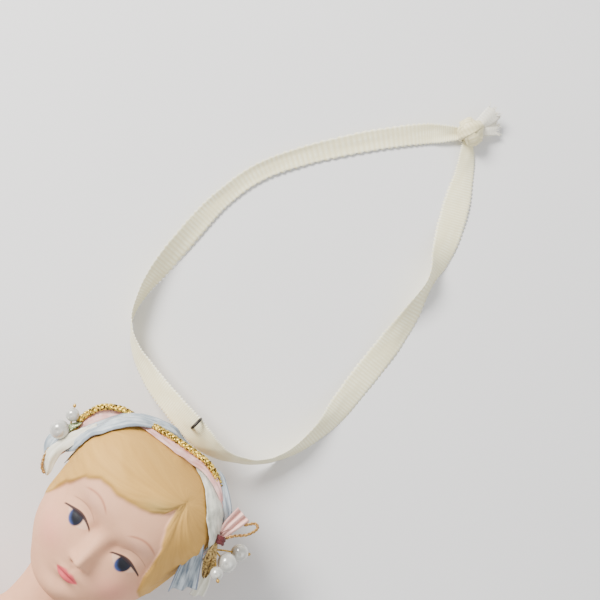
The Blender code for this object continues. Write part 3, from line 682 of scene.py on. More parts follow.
def section_point(row, turn, shaped):
    """A point of the bust's skin, in the head's millimetres, with how deep in the hair it is."""
    y, z, tilt, wide, front, back = row
    low = rise(y, BUST_TOP_Y, BUST_TOP_Y - 0.5 * BUST_HEIGHT)
    c, s = math.cos(turn), math.sin(turn)
    power = 2.0 / (2.15 + (1.2 * low if s < 0 else 0.5 * low))
    across = wide * math.copysign(abs(c) ** power, c)
    out = (front if s > 0 else back) * math.copysign(abs(s) ** power, s)
    inside = BARE
    push = 0.0
    if shaped:
        up = y / math.cos(HEAD_BOW)
        head = rise(y, -CHIN_DROP - 3.0, -CHIN_DROP + 1.5)
        if head > 0.0:
            inside = hair_depth(across, up, out)
            bare = 1.0 - rise(inside, -0.5, 0.9)
            face = face_relief(across, up) * rise(out, 1.0, 6.0)
            push = head * (bare * (face - skin_recess(up, out))
                           + hair_relief(across, up, out, inside))
        push += (1.0 - head) * body_relief(across, y, out) * rise(-y, CHIN_DROP, CHIN_DROP + 8.0)
    crown = rise(y, CROWN_HEIGHT * 0.80, CROWN_HEIGHT * 0.97)
    away = Vector((across, out)).normalized() * push * (1.0 - 0.8 * crown)
    across += away.x
    out += away.y
    place = Vector((across, y - out * math.sin(tilt), z + out * math.cos(tilt)))
    return place, inside, (across, y / math.cos(HEAD_BOW), out)


def bust_heights():
    """Where the rings of the bust lie, crown to base, closer on the head than on the shoulders."""
    rows = sections(0.0)
    picked, last = [], None
    for i in range(4001):
        t = 1.0 - i / 4000
        row = smooth_row(rows, t)
        here = Vector((row[0], row[3], row[4]))
        spacing = 0.36 if row[0] > -CHIN_DROP else 0.85
        if last is None or (here - last).length >= spacing:
            picked.append(t)
            last = here
    return picked + [0.0]


def bust_turns():
    """Where the lines of the bust lie round it, closer over the face than over the back."""
    front, back = 200, 120
    turns = [math.pi * k / front for k in range(front)]
    return turns + [math.pi * (1.0 + k / back) for k in range(back + 1)]


def bust_rings():
    """The hollow bust in one skin: down the outside, in through the vent and up the inside."""
    outer_rows, inner_rows = sections(0.0), sections(WALL)
    turns = bust_turns()
    rings = []
    top = smooth_row(outer_rows, 1.0)
    for share, raise_by in ((0.0, 0.30), (0.5, 0.22)):
        lid = (top[0] + raise_by, *top[1:3], *(size * share for size in top[3:]))
        rings.append([(place, COVERED, local) for place, _, local in
                      (section_point(lid, turn, False) for turn in turns)])
    for t in bust_heights():
        row = smooth_row(outer_rows, t)
        rings.append([section_point(row, turn, True) for turn in turns])
    foot = rings[-1]
    vent = [Vector((VENT_RADIUS * math.cos(a), BASE_Y, AXIS_DROP + VENT_RADIUS * math.sin(a)))
            for a in turns]
    for share in (0.02, 0.35, 0.7, 0.97, 1.0):
        rings.append([(p.lerp(q, share), BARE, None) for (p, _, _), q in zip(foot, vent)])
    rings.append([(q + Vector((0.0, WALL, 0.0)), BARE, None) for q in vent])
    for i in range(23):
        row = smooth_row(inner_rows, i / 22)
        rings.append([section_point(row, turn, False) for turn in turns])
    last = smooth_row(inner_rows, 1.0)
    rings.append([(Vector((0.0, last[0], last[1])), BARE, None) for _ in turns])
    return rings


def bust_piece(rings):
    """The bust's mesh, which also holds how deep in the hair each place is, and in which lock."""
    bm = bmesh.new()
    depth = bm.verts.layers.float.new("hair")
    flow = bm.verts.layers.float.new("lock")
    across, down = len(rings[0]) - 1, len(rings) - 1
    made = bmesh.ops.create_grid(bm, x_segments=across, y_segments=down, size=1.0)
    for v in made["verts"]:
        k = round((v.co.x + 1.0) / 2.0 * across)
        j = round((v.co.y + 1.0) / 2.0 * down)
        place, inside, local = rings[j][k]
        v.co = (CENTRE + place) * MM
        v[depth] = inside
        v[flow] = flow_of(*local) if local else 0.0
    bmesh.ops.remove_doubles(bm, verts=bm.verts, dist=2e-6)
    bmesh.ops.recalc_face_normals(bm, faces=bm.faces)
    return bm


def paint_skin(finish, side, up, front):
    """Blushed cheeks, warm eyelids, painted shade beside the nose, and nostrils."""
    blush = side.hill(11.5, 5.0) * up.hill(-9.5, 4.6) * front
    finish.paint(blush * 0.45, "E08A7E")
    glow = up.hill(5.5, 2.2) * side.hill(8.5, 4.5) * front
    finish.paint(glow * 0.18, "D9A99C")
    # Painted shade in the hollows beside the bridge of the nose.
    shade = side.hill(4.0, 1.6) * up.hill(0.2, 2.4) * front
    finish.paint(shade * 0.36, "A8765C")
    nostril = side.hill(1.15, 0.42) * up.hill(-9.7, 0.36) * front
    finish.paint(nostril * 0.7, "A7665A")


def paint_brows(finish, side, up, front):
    """Brows and lid creases, each a thin arc."""
    brow_line = 7.9 - (side - 8.0).squared() * 0.1
    brow = (up - brow_line).hill(0.0, 0.34) * side.rise(3.2, 5.2) * (1.0 - side.rise(11.0, 13.4))
    finish.paint(brow * front * 0.75, "AE6E54")
    crease_line = 2.7 - (side - 8.6).squared() * 0.1
    crease = (up - crease_line).hill(0.0, 0.20)
    crease = crease * side.rise(4.0, 5.4) * (1.0 - side.rise(12.4, 13.6))
    finish.paint(crease * front * 0.60, "A0705A")


def paint_eyes(finish, x, side, up, front):
    """Whites, dark blue irises that look to one side, and lashes; gives where the irises are."""
    lid = -0.15 - (side - 7.9).squared() * 0.085
    floor_line = (side - 8.5).squared() * 0.10 - 3.35
    below = 1.0 - (up - lid).rise(-0.10, 0.10)
    above = (up - floor_line).rise(-0.12, 0.16)
    opening = below * above * side.rise(4.2, 4.8) * (1.0 - side.rise(12.2, 12.8)) * front
    finish.paint(opening * 0.22, "EDDCC8")
    look = (x + 0.3).size() - EYE_X
    toward = (x + 0.3).sum("SIGN")
    gaze = (look.squared() + (up + 1.65).squared() * 0.82).sum("SQRT")
    iris = (1.0 - gaze.rise(1.75, 2.35)) * below * front
    lean = (toward * look * -0.45 - (up + 1.75) * 0.6 - 0.15).rise(-0.5, 1.3)
    streak = finish.noise(finish.joined(x * 2.5, up * 2.5), 1.0, 2.0)
    eye = finish.mix(lean * 1.0 + (streak - 0.5) * 0.25 - 0.36, "15172A", "4C60A0")
    finish.paint(iris, eye)
    pupil = (1.0 - gaze.rise(0.70, 2.00)) * below * front
    finish.paint(pupil * 0.95, "0F1018")
    spread = 0.22 + side.hill(8.8, 2.9) * 0.30
    line = 1.0 - ((up - lid).size() - spread).rise(-0.14, 0.18)
    lash = line * side.rise(3.4, 4.2) * (1.0 - side.rise(13.2, 13.9)) * front
    finish.paint(lash * 0.95, "2E1F22")
    return iris


def paint_lips(finish, x, side, up, front, mottle):
    """Lips with a darker line between them; gives where they are."""
    bow = x.squared() * (1.0 / 14.4)
    lip_top = -12.05 - bow * 1.75 - x.hill(0.0, 0.8) * 0.40
    lip_low = bow * 1.65 - 15.60
    lips = (lip_top - up).rise(-0.30, 0.45) * (up - lip_low).rise(-0.30, 0.45)
    lips = lips * (1.0 - side.rise(3.4, 4.0)) * front
    finish.paint(lips * 0.88, finish.mix(mottle, "DC4A5C", "C8384A"))
    mouth = (up + 13.75 + x.squared() * 0.03).hill(0.0, 0.20) * (1.0 - side.rise(2.6, 3.4)) * front
    finish.paint(mouth * 0.6, "96353F")
    return lips


def paint_hair(finish, x, up, out, front):
    """Blonde locks, with painted shade in the grooves, under the fringe and along the edge; gives
    where they are, and their relief.
    """
    inside = finish.attribute("hair")
    lock = finish.attribute("lock")
    strands = finish.noise(finish.joined(lock * 9.0, up * 0.05, out * 0.05), 2.2, 4.0)
    fine = finish.noise(finish.joined(lock * 42.0, up * 0.08, out * 0.08), 1.6, 2.0)
    wave = (lock * 9.0).sine() * 0.5 + 0.5
    hair = finish.mix((strands - 0.5) * 1.1 + 0.40, "D5A654", "B9893D")
    # Painted shade in the grooves between the locks.
    hair = finish.mix((1.0 - wave) * (fine * 0.9) * 0.38, hair, "AE8443")
    # Painted shade under the lower edge of the fringe, in an olive brown.
    fringe_shade = (x - 4.6).hill(0.0, 4.4) * (up - x * 0.35 - 14.6).hill(0.0, 2.0) * front
    hair = finish.mix(fringe_shade * 0.60, hair, "9E8A52")
    # Painted shade along the edge of the hair, where it stands over the skin.
    hair = finish.mix(inside.hill(0.4, 0.5) * 0.35, hair, "9C7638")
    edge = inside.rise(-0.35, 0.45)
    finish.paint(edge, hair)
    return edge, strands * 1.2 + fine * 0.8


def painted_bisque():
    """Unglazed porcelain: tinted skin, painted eyes, brows and lips, and blonde hair."""
    finish = Finish("painted_bisque", 0.62, Specular_IOR_Level=0.35)
    x, y, z = finish.place()
    y = y - CENTRE.y
    z = z - CENTRE.z
    cos, sin = math.cos(HEAD_BOW), math.sin(HEAD_BOW)
    up = y * cos + z * sin
    out = z * cos - y * sin
    side = x.size()
    front = out.rise(4.0, 8.0)
    mottle = finish.noise(finish.joined(x, y, z), 0.35, 4.0)
    grain = finish.noise(finish.joined(x, y, z), 9.0, 2.0)
    finish.colour = finish.mix(mottle, "E0AB89", "D89F7C")
    paint_skin(finish, side, up, front)
    paint_brows(finish, side, up, front)
    iris = paint_eyes(finish, x, side, up, front)
    lips = paint_lips(finish, x, side, up, front, mottle)
    edge, locks = paint_hair(finish, x, up, out, front)
    finish.set("Base Color", finish.colour)
    finish.set("Roughness", lips * -0.16 + iris * -0.2 + 0.64 + grain * 0.06)
    finish.bumps(grain * 0.5 + edge * locks, 0.00005, 0.7)
    return finish


RINGS = bust_rings()
CENTRE.z = -min(place.z for ring in RINGS for place, _, _ in ring)
bust_bm = bust_piece(RINGS)
SKIN = BVHTree.FromBMesh(bust_bm)
bust = make("bust", bust_bm, painted_bisque(), "bust", "bisque", ["bust_shell"], 0)

# ------------------------------------------------------------------ cloth, thread and bead finishes


def satin(name, light_tone, dark_tone, rim_tone, half_width, alpha=1.0):
    """Narrow satin ribbon: long soft creases, lighter on their crests and darker in their hollows as
    painted sheen and shade, a fine weave and a stitched rim.
    """
    finish = Finish(name, 0.42, Sheen_Weight=0.4, Sheen_Roughness=0.35, Specular_IOR_Level=0.45)
    across, along = finish.weave_place()
    crease = finish.noise(finish.joined(across * 1.5, along * 0.16, 3.0), 1.0, 3.0)
    weave = (along * 14.0).sine() * (across * 14.0).sine()
    sheen_patches = finish.noise(finish.joined(across * 0.3, along * 0.22), 1.0, 2.0)
    # Painted sheen and shade: the light tone on the crests of the creases and in broad patches, the
    # dark tone in the hollows.
    painted_sheen_and_shade = crease.rise(0.30, 0.64) * 0.6 + sheen_patches.rise(0.3, 0.7) * 0.4
    body = finish.mix(painted_sheen_and_shade, dark_tone, light_tone)
    rim = across.size().rise(half_width - 0.32, half_width - 0.12)
    finish.set("Base Color", finish.mix(rim * 0.75, body, rim_tone))
    finish.set("Roughness", crease * 0.25 + 0.32)
    if alpha < 1.0:
        finish.set("Alpha", crease * 0.35 + (alpha - 0.16) + rim * 0.2)
    finish.bumps(crease * 0.8 + weave * 0.12, 0.00012, 0.8)
    return finish


def speckled(name, colours, scale, detail, contrast=None, spread=(), bump=None, roughness=0.5,
             **constants):
    """A finish with specks through it, which tint it and, as spread says, change other sockets."""
    finish = Finish(name, roughness, **constants)
    x, y, z = finish.place()
    speck = finish.noise(finish.joined(x, y, z), scale, detail)
    finish.set("Base Color", finish.mix(speck.rise(*contrast) if contrast else speck, *colours))
    for socket, amount, base in spread:
        finish.set(socket, speck * amount + base)
    if bump:
        finish.bumps(speck, *bump)
    return finish


def metal_thread(name, bright, dark, metallic=0.75, grain=4.0):
    """Metallised thread: bright and dark specks, which paint glints on the foil and shade in the gaps
    between its turns.
    """
    return speckled(name, (dark, bright), grain, 3.0, (0.38, 0.58), [("Roughness", 0.3, 0.22)],
                    (0.00008, 0.7), metallic=metallic)


def crinkled_foil(name, bright, dark):
    """Metallised film, crinkled, with painted glints on the crests of the crinkles and painted shade
    in their hollows.
    """
    finish = Finish(name, 0.3, 0.7)
    across, along = finish.weave_place()
    crinkle = finish.noise(finish.joined(across * 1.6, along * 1.6), 1.0, 4.0)
    finish.set("Base Color", finish.mix(crinkle.rise(0.35, 0.65), dark, bright))
    finish.set("Roughness", crinkle * 0.35 + 0.15)
    finish.bumps(crinkle, 0.0003, 0.8)
    return finish


BLUE_SATIN = satin("blue_satin", "CAD2D4", "71818F", "7D8894", 3.0)
PINK_SATIN = satin("pink_satin", "EBC2B9", "C98882", "9E4A4E", 1.6)
CREAM_SATIN = satin("cream_satin", "E6E4D4", "A6A999", "F1ECDA", 3.6)
PINK_VOILE = satin("pink_voile", "F0C4B6", "D89E92", "CC8A80", 2.7)
IVORY_SATIN = satin("ivory_satin", "EFEBDA", "CFCAB2", "F2EFE2", 2.0)
SHEER_BLUE = satin("sheer_blue", "CBD3D6", "4C5E72", "5D6A84", 4.0, 0.95)
GOLD_THREAD = metal_thread("gold_thread", "F8D55E", "3F260A", 0.65, 1.7)
OLD_GOLD_THREAD = metal_thread("old_gold_thread", "CFA65C", "5E241C", 0.5)
GOLD_FOIL = crinkled_foil("gold_foil", "C8A96A", "5A4222")
GREEN_FOIL = crinkled_foil("green_foil", "A9B08A", "4F5A33")
# Pearlised beads have a clear coat over a soft body
PEARL_COAT = speckled(
    "pearl_coat", ("BDBBB3", "CBC9C1"), 0.55, 3.0, (0.3, 0.7),
    [("Roughness", 0.08, 0.20), ("Metallic", 0.10, 0.22)],
    Coat_Weight=0.8, Coat_Roughness=0.08, Coat_IOR=1.5,
)
DULL_WIRE = speckled("dull_wire", ("211F1E", "55504B"), 3.0, 3.0,
                     spread=[("Roughness", 0.3, 0.35)], metallic=0.8)
DRIED_GLUE = speckled("dried_glue", ("D8CDA4", "EDE6CC"), 1.2, 2.0,
                      spread=[("Roughness", 0.2, 0.12), ("Alpha", 0.2, 0.6)],
                      Specular_IOR_Level=0.5)
RED_THREAD = speckled("sewing_thread", ("340608", "74171A"), 7.0, 2.0, bump=(0.00005, 0.6),
                      roughness=0.7, Sheen_Weight=0.3)
GILT = metal_thread("gilt_wire", "D9B25E", "8C662B", 0.9)

for node_name in ("crown_glue", "left_glue_dab", "right_glue_dab"):
    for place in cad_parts[node_name].material_slots:
        place.material = DRIED_GLUE.material

# ------------------------------------------------------------------ wire eye

EYE_LOW, EYE_HIGH = (Vector(corner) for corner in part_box("hanger_wire"))
WIRE_STEPS = 110


def wire_eye():
    """A wire with both legs in the crown; its bend goes through the middle of the ribbon."""
    x = (EYE_LOW.x + EYE_HIGH.x) / 2
    radius = (EYE_HIGH.x - EYE_LOW.x) / 2
    root = Vector((x, EYE_LOW.y, 0.0196))
    outline = [
        (EYE_LOW.y + radius, 0.0196), (EYE_LOW.y + 0.0016, 0.0166), (0.0368, 0.0146),
        (0.0405, 0.0134), (0.0430, 0.0137), (0.0443, 0.0160), (0.0449, 0.0187),
        (0.0456, 0.0203), (0.0468, 0.0205), (0.0480, 0.0197), (EYE_HIGH.y - radius, 0.0176),
        (0.0476, 0.0151), (0.0455, 0.0132), (0.0430, 0.0122), (0.0405, 0.0120),
        (0.0368, 0.0130), (EYE_LOW.y + 0.0016, 0.0146), (EYE_LOW.y + radius, 0.0140),
    ]
    points = [(root.x, y, z) for y, z in outline]
    bm = bmesh.new()
    tube(bm, [smooth_row(points, i / WIRE_STEPS) for i in range(WIRE_STEPS + 1)], radius, 10)
    return make("wire_eye", bm, DULL_WIRE, "bust", "dark_wire", ["hanger_wire"])


wire_eye()

# ------------------------------------------------------------------ headband

BAND_LIFT = math.radians(3.0)
BAND_STEPS = 170
BAND_THICKNESS = 0.2 * MM
BAND_CREASE = 0.26
BAND_UP = Vector((0.0, math.cos(BAND_LIFT), math.sin(BAND_LIFT)))
BAND_FRONT = Vector((0.0, -math.sin(BAND_LIFT), math.cos(BAND_LIFT)))


def outward(turn):
    """The way out from the head at a turn in degrees from the crown, to the right."""
    a = math.radians(turn)
    return Vector((math.sin(a), 0.0, 0.0)) + BAND_UP * math.cos(a)


def over_head(turn, lift, front):
    """A place over the hair: lift off it and front of the headband's middle, in millimetres."""
    way = outward(turn)
    start = (CENTRE + BAND_FRONT * front) * MM
    place = SKIN.ray_cast(start + way * 0.1, -way)[0]
    return place + way * (lift * MM)


def row_length(rows):
    places = [over_head(*row[:3]) for row in rows]
    return sum((b - a).length for a, b in zip(places, places[1:])) / MM


def band_strand(name, node, rows, finish, slot, seed):
    """A ribbon laid over the hair; each row is turn, then the outer edge's lift and front, then
    the inner edge's, then the puff between them."""
    length = row_length(rows)
    lies = [smooth_row(rows, i / BAND_STEPS) for i in range(BAND_STEPS + 1)]
    edges = [(over_head(*lie[:3]), over_head(lie[0], lie[3], lie[4])) for lie in lies]
    middles = [(a + b) / 2 for a, b in edges]

    def surface(u, s):
        i = round(s * BAND_STEPS)
        outer, inner = edges[i]
        ahead = middles[min(i + 1, BAND_STEPS)] - middles[max(i - 1, 0)]
        normal = (inner - outer).cross(ahead).normalized()
        if normal.dot(outward(lies[i][0]) + BAND_FRONT) < 0:
            normal = -normal
        run = s * length
        height = lies[i][5] * (1.0 - u * u)
        height += BAND_CREASE * noise.noise(Vector((u * 1.4 + seed, run * 0.16, seed * 2.0)))
        wander = 3.5 * noise.noise(Vector((run * 0.12, seed, 1.0)))
        height += 0.5 * BAND_CREASE * math.sin(5.2 * u + wander)
        uneven = 1.0 + 0.07 * noise.noise(Vector((run * 0.35, seed, u)))
        place = outer.lerp(inner, 0.5 + 0.5 * u * uneven)
        return place + normal * (height * MM)

    bm = bmesh.new()
    outer, inner = edges[BAND_STEPS // 3]
    cloth_grid(bm, 18, BAND_STEPS, surface, (inner - outer).length / MM, length)
    thicken(make(name, bm, finish, "bust", slot, [node], 0), BAND_THICKNESS)


BLUE_ROWS = [
    (-100, 4.6, 0.5, 3.4, 1.6, 0.1), (-92, 4.7, 1.4, 3.1, 3.0, 0.2), (-87, 4.4, 2.0, 1.9, 4.8, 0.3),
    (-81, 4.0, 2.5, 0.9, 6.8, 0.4), (-73, 3.5, 3.0, 0.8, 8.4, 0.5), (-65, 1.9, 3.2, 0.8, 9.4, 0.7),
    (-57, 1.6, 2.7, 0.8, 9.6, 0.8), (-50, 1.9, 2.2, 0.8, 8.8, 0.8), (-43, 2.4, 1.4, 1.0, 7.6, 0.7),
    (-36, 3.0, 0.8, 1.2, 5.6, 0.7), (-29, 3.2, 0.0, 1.2, 3.0, 0.6), (-23, 3.5, -0.8, 1.5, 0.6, 0.4),
    (-15, 3.5, -2.2, 1.5, -0.6, 0.3), (-7, 1.6, -5.0, 1.0, -2.6, 0.1),
    (5, 0.8, -7.0, 0.8, -4.0, 0.1), (15, 1.4, -5.0, 1.2, -2.6, 0.1), (23, 4.4, -1.6, 2.2, 0.2, 0.2),
    (30, 4.2, -0.8, 2.2, 0.8, 0.2), (38, 3.8, -0.2, 1.6, 1.4, 0.2), (47, 3.6, 0.0, 1.4, 1.6, 0.2),
    (53, 2.9, -0.6, 1.2, 1.0, 0.2), (60, 2.0, -1.0, 1.0, 0.8, 0.2), (70, 1.8, -1.0, 0.8, 0.8, 0.2),
    (92, 1.4, -1.0, 0.6, 0.8, 0.1),
]
PINK_ROWS = [
    (-98, 3.9, -0.6, 3.2, 0.6, 0.1), (-86, 4.0, 0.0, 2.2, 1.6, 0.2), (-75, 5.0, 0.3, 2.0, 2.3, 0.3),
    (-66, 5.3, 0.4, 1.2, 2.8, 0.4), (-57, 4.6, 0.3, 0.8, 2.2, 0.3), (-49, 2.9, 0.0, 0.5, 1.6, 0.2),
    (-41, 1.2, 0.0, 0.4, 2.0, 0.1), (-34, 0.9, 0.4, 0.4, 3.0, 0.1), (-27, 1.1, 1.2, 0.4, 4.2, 0.2),
    (-17, 1.3, 0.9, 0.3, 3.8, 0.3), (-6, 1.9, 0.8, 0.3, 3.9, 0.4), (2, 2.4, 0.8, 0.6, 3.2, 0.4),
    (9, 3.0, 0.8, 1.0, 2.4, 0.4), (16, 3.8, 0.7, 1.7, 2.2, 0.3), (25, 3.4, 1.0, 2.0, 2.4, 0.2),
    (33, 2.6, 1.0, 1.8, 2.2, 0.1), (41, 1.9, 0.8, 1.4, 1.6, 0.1), (56, 1.5, 0.0, 1.1, 0.8, 0.1),
    (90, 1.4, -0.4, 0.8, 0.4, 0.1),
]
CREAM_ROWS = [
    (-98, 0.7, -3.2, 0.5, 0.6, 0.1), (-60, 0.6, -3.4, 0.5, 0.4, 0.1),
    (-30, 0.6, -3.2, 0.4, 0.4, 0.1), (-10, 0.8, -3.2, 0.5, -0.6, 0.1),
    (4, 0.9, -3.4, 0.6, -0.6, 0.1), (13, 1.1, -2.4, 0.6, 1.4, 0.1), (20, 1.4, -1.6, 0.6, 2.6, 0.2),
    (27, 1.6, -0.8, 0.6, 5.0, 0.3), (34, 1.6, 0.2, 0.6, 7.8, 0.5), (42, 1.5, 1.4, 0.6, 9.8, 0.7),
    (50, 1.5, 2.4, 0.7, 9.8, 0.7), (58, 1.7, 3.4, 0.9, 8.6, 0.6), (66, 2.0, 4.2, 1.3, 7.0, 0.4),
    (74, 2.1, 4.4, 1.8, 5.8, 0.2), (84, 1.9, 3.0, 1.5, 4.4, 0.2), (97, 1.4, 1.2, 1.0, 2.6, 0.1),
]
IVORY_ROWS = [
    (-109, 2.8, 3.2, 2.2, 3.5, 0.1), (-105, 4.9, 3.3, 2.2, 4.0, 0.3),
    (-100, 6.2, 3.4, 2.7, 4.2, 0.5), (-95, 6.4, 3.5, 3.0, 4.6, 0.6), (-89, 5.7, 3.6, 2.9, 5.2, 0.6),
    (-83, 5.0, 3.8, 2.2, 6.0, 0.5), (-77, 4.2, 4.0, 1.7, 6.6, 0.5), (-71, 3.1, 4.2, 1.5, 6.8, 0.4),
    (-66, 2.3, 4.6, 1.6, 6.6, 0.3), (-61, 1.9, 5.4, 1.7, 6.2, 0.1),
]
band_strand("blue_strand", "band_ribbon_blue", BLUE_ROWS, BLUE_SATIN, "blue_ribbon", 1.0)
band_strand("pink_strand", "band_ribbon_pink", PINK_ROWS, PINK_SATIN, "pink_ribbon", 5.0)
band_strand("cream_strand", "band_ribbon_cream", CREAM_ROWS, CREAM_SATIN, "cream_ribbon", 9.0)
band_strand("left_ivory_fold", "left_loop_cream", IVORY_ROWS, IVORY_SATIN, "cream_ribbon", 13.0)

PLAIT_PERIOD = 4.2
BRAID_WIDTH, BRAID_THREAD = 2.0, 0.44
# Each row of the gold braid: turn, lift, front and tilt
BRAID_ROWS = [
    (-88, 3.0, 0.6, 40), (-81, 4.3, 1.2, 50), (-75, 5.0, 1.6, 56), (-68, 5.1, 1.8, 58),
    (-62, 5.1, 1.8, 60), (-56, 4.8, 1.8, 60), (-50, 3.7, 1.6, 58), (-44, 2.6, 1.2, 52),
    (-38, 1.4, 0.8, 40), (-31, 1.3, 1.6, 40), (-26, 1.8, 2.0, 48), (-20, 2.0, 1.9, 54),
    (-12, 2.3, 1.7, 58), (-3, 2.8, 1.6, 60), (6, 3.5, 1.5, 60), (13, 4.0, 1.4, 58),
    (20, 3.8, 1.2, 54), (27, 2.9, 0.4, 45), (35, 2.0, -0.3, 35), (46, 1.4, -1.6, 20),
    (60, 1.2, -2.0, 15), (72, 1.1, -2.0, 15),
]


def plait(bm, frames, length, width, thread, period=PLAIT_PERIOD):
    """A flat plait of three threads along frames of (middle, width direction, normal)."""
    count = max(24, int(length / 0.22))
    reach = 0.5 * width - thread
    for k in range(3):
        path = []
        for i in range(count + 1):
            s = i / count
            phase = 2.0 * math.pi * (s * length / period + k / 3.0)
            middle, wide, normal = frames(s)
            place = middle + wide * (reach * math.sin(phase) * MM)
            path.append(place + normal * (0.75 * thread * math.sin(2.0 * phase) * MM))
        tube(bm, path, thread * MM, 7)


def braid_frame(s):
    """Middle, width direction and normal of the braid."""
    turn, lift, front, tilt = smooth_row(BRAID_ROWS, s)
    way, lean = outward(turn), math.radians(tilt)
    wide = BAND_FRONT * math.cos(lean) - way * math.sin(lean)
    return over_head(turn, lift, front), wide, way * math.cos(lean) + BAND_FRONT * math.sin(lean)


braid_bm = bmesh.new()
plait(braid_bm, braid_frame, row_length(BRAID_ROWS), BRAID_WIDTH, BRAID_THREAD)
make("gold_braid", braid_bm, GOLD_THREAD, "bust", "gold_braid", ["band_gold_braid"], 0)

# ------------------------------------------------------------------ side clusters


def beside(x, y, z):
    """A place given from the head's centre, in millimetres."""
    return (CENTRE + Vector((x, y, z))) * MM


def routed(route, facing):
    """Frames along a route of places beside the head, turned to facing."""
    points = [beside(*place) for place in route]

    def frame_at(s):
        middle = Vector(smooth_row(points, s))
        ahead = Vector(smooth_row(points, min(s + 0.02, 1.0)))
        behind = Vector(smooth_row(points, max(s - 0.02, 0.0)))
        way = (ahead - behind).normalized()
        wide = way.cross(Vector(facing)).normalized()
        return middle, wide, wide.cross(way)

    length = sum((b - a).length for a, b in zip(points, points[1:])) / MM
    return frame_at, length


def fold(name, node, route, facing, widths, finish, slot, pleats, depth, seed, thickness=0.16):
    """A ribbon end beside the head: gathered at its root and pleated towards its wide end."""
    frame_at, length = routed(route, facing)

    def surface(u, s):
        middle, wide, normal = frame_at(s)
        width = smooth_row([(w,) for w in widths], s)[0]
        height = depth * math.sin(math.pi * pleats * (u + 1.0) / 2.0 + 0.4 * seed) * rise(s, 0, 0.8)
        height += 0.25 * noise.noise(Vector((u * 1.5, s * 3.0, seed)))
        ragged = 1.0 + 0.035 * math.sin(9.0 * u + seed) * rise(s, 0.7, 1.0)
        middle = middle + (frame_at(1.0)[0] - middle) * (ragged - 1.0)
        return middle + wide * (u * 0.5 * width * MM) + normal * (height * MM)

    bm = bmesh.new()
    cloth_grid(bm, 26, 26, surface, max(widths), length)
    piece = make(name, bm, finish, "bust", slot, [node], 0)
    thicken(piece, thickness * MM)
    return piece


def pearl(name, low, high, seed):
    """A bead, a little uneven, dimpled where its stem comes through."""
    middle, radius = (low + high) / 2, (high.x - low.x) / 2
    bm = bmesh.new()
    bmesh.ops.create_uvsphere(bm, u_segments=56, v_segments=36, radius=1.0)
    for v in bm.verts:
        p = v.co.copy()
        dimple = 0.10 * hill(1.0 - abs(p.z), 0.0, 0.02)
        uneven = 0.012 * noise.noise(p * 1.6 + Vector((seed, 0.0, 0.0)))
        v.co = middle + p * (radius * (0.985 + uneven - dimple))
    return bm


def stem(name, root, pearl_middle, radius, tip):
    """A gilt wire through a pearl, with a bead of wire where it comes out."""
    way = (pearl_middle - root).normalized()
    bend = way.orthogonal().normalized() * 0.0004
    near = pearl_middle - way * radius * 0.9
    bm = bmesh.new()
    tube(bm, [smooth_row([root, (root + near) / 2 + bend, near], i / 16) for i in range(17)],
         0.00026, 8)
    if tip:
        end = pearl_middle + way * (radius + 0.0001)
        beads = [(0.0, 0.00018), (0.0003, 0.00042), (0.0007, 0.00046), (0.0011, 0.0002)]
        tube(bm, [end + way * smooth_row(beads, i / 12)[0] for i in range(13)],
             lambda s: smooth_row(beads, s)[1], 10)
    return make(name, bm, GILT, "bust", "gold_wire", [name], 0)


def thread_binding(name, place, way, radius):
    """Dark red thread wound round the roots of a cluster."""
    axis = Vector(way).normalized()
    side = axis.orthogonal().normalized()
    up = axis.cross(side)
    bm = bmesh.new()
    turns, points = 7, []
    for i in range(turns * 18 + 1):
        a = 2.0 * math.pi * i / 18
        along = (i / (turns * 18) - 0.5) * 2.4
        r = radius * (1.0 + 0.05 * math.sin(2.3 * a) + 0.03 * math.sin(0.7 * a))
        spot = side * math.cos(a) * r + up * math.sin(a) * r * 0.8 + axis * along
        points.append(place + spot * MM)
    tube(bm, points, 0.20 * MM, 7)
    for lean in (0.7, -0.5):
        loose = [place + axis * 0.0010, place + axis * 0.0022 + side * 0.0008 * lean,
                 place + axis * 0.0034 + side * 0.0022 * lean + up * 0.0006]
        tube(bm, [smooth_row(loose, i / 10) for i in range(11)], 0.09 * MM, 5)
    return make(name, bm, RED_THREAD, "bust", "red_thread", [name], 0)


def thread_plait(name, route, facing, width, thread, finish):
    frame_at, length = routed(route, facing)
    bm = bmesh.new()
    plait(bm, frame_at, length, width, thread, 3.0)
    return make(name, bm, finish, "bust", "gold_braid", [name], 0)


ROOTS = {"right": beside(23.4, 9.6, 3.4), "left": beside(-25.0, 1.6, 2.0)}
for side_name, kinds in (("right", ("large", "small", "back")), ("left", ("large", "small"))):
    for seed, kind in enumerate(kinds):
        node = f"{side_name}_pearl_{kind}"
        low, high = (Vector(corner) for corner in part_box(node))
        bead = pearl(node, low, high, 3.1 * seed + len(side_name))
        make(f"{node}_bead", bead, PEARL_COAT, "bust", "pearl", [node])
        stem(f"{side_name}_stem_{kind}", ROOTS[side_name], (low + high) / 2,
             (high.x - low.x) / 2, kind in ("back", "small"))

thread_binding("right_binding", beside(22.4, 13.6, 5.6), (-0.40, 0.90, 0.1), 1.75)
thread_binding("left_binding", beside(-25.6, -3.6, 1.6), (-0.2, 1.0, 0.1), 1.2)

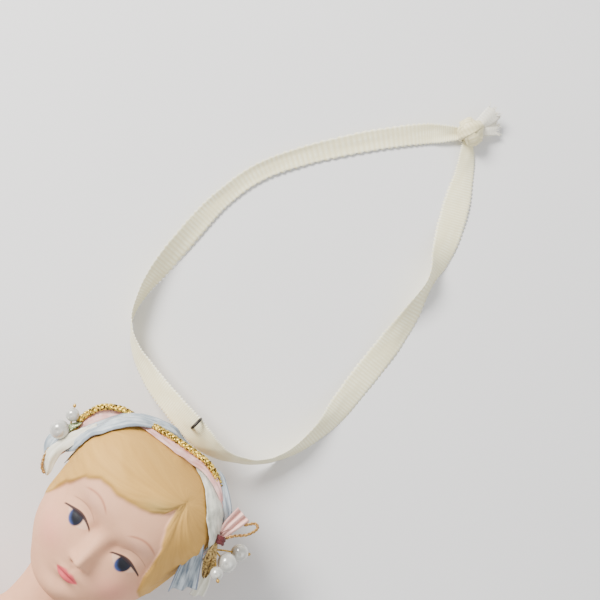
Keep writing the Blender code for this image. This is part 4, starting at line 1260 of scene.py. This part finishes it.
fold("right_pink_fan", "right_tail_pink", [(22.7, 14.2, 5.2), (22.2, 18.0, 5.6), (22.6, 22.6, 4.8)],
     (0.2, 0.0, 1.0), [1.8, 4.2, 5.4], PINK_VOILE, "pink_ribbon", 5, 0.6, 2.0)
thread_plait("right_braid_tail",
             [(23.0, 13.6, 5.8), (24.6, 16.8, 6.4), (27.0, 19.6, 6.0), (27.9, 22.4, 5.2),
              (26.6, 23.0, 4.8), (24.8, 20.6, 4.8)],
             (0.3, 0.0, 1.0), 0.9, 0.17, OLD_GOLD_THREAD)
fold("right_blue_fan", "right_loop_blue",
     [(18.2, 11.8, 9.8), (20.2, 6.8, 9.4), (22.4, 1.8, 8.2), (24.8, -3.0, 6.4)],
     (0.55, 0.1, 0.82), [2.0, 5.0, 7.0, 8.6], SHEER_BLUE, "blue_ribbon", 4, 0.6, 3.0)
fold("right_cream_tail", "right_loop_cream",
     [(27.0, 4.4, 1.6), (28.6, 0.8, 0.6), (29.8, -3.4, -0.6)],
     (0.7, 0.0, 0.8), [2.0, 3.4, 4.4], IVORY_SATIN, "cream_ribbon", 3, 0.35, 4.0)
fold("right_gold_leaf", "right_foil_leaf",
     [(22.4, 12.8, 6.6), (23.8, 9.6, 7.8), (25.4, 6.6, 7.6), (26.8, 3.4, 6.6)],
     (0.5, 0.0, 0.9), [1.0, 3.0, 3.2, 1.0], GOLD_FOIL, "gold_foil", 3, 0.35, 5.0, 0.1)
fold("left_blue_fold", "left_loop_blue",
     [(-26.0, -5.0, 1.2), (-28.2, -1.8, 1.2), (-28.2, 1.8, 0.6), (-26.8, 5.6, 0.0)],
     (-0.4, 0.0, 0.9), [2.0, 3.4, 3.6, 2.6], BLUE_SATIN, "blue_ribbon", 2, 0.4, 6.0)
fold("left_pink_end", "left_tail_pink", [(-25.6, -3.4, 2.0), (-25.8, -5.6, 1.4), (-25.2, -7.8, 0.8)],
     (-0.7, 0.0, 0.7), [1.4, 2.2, 2.4], PINK_SATIN, "pink_ribbon", 3, 0.3, 7.0)
thread_plait("left_braid_tail",
             [(-26.2, -0.6, 2.6), (-27.2, -2.4, 3.2), (-26.6, -4.8, 3.6), (-25.2, -7.0, 3.8),
              (-23.4, -8.0, 3.6)],
             (-0.6, 0.0, 0.8), 0.9, 0.18, OLD_GOLD_THREAD)
fold("left_green_leaf", "left_foil_leaf",
     [(-27.4, 2.6, 3.6), (-27.4, 4.6, 3.8), (-26.8, 6.8, 3.4), (-26.0, 8.8, 2.8)],
     (-0.4, 0.0, 0.9), [0.7, 1.9, 1.8, 0.6], GREEN_FOIL, "green_foil", 2, 0.2, 8.0, 0.1)
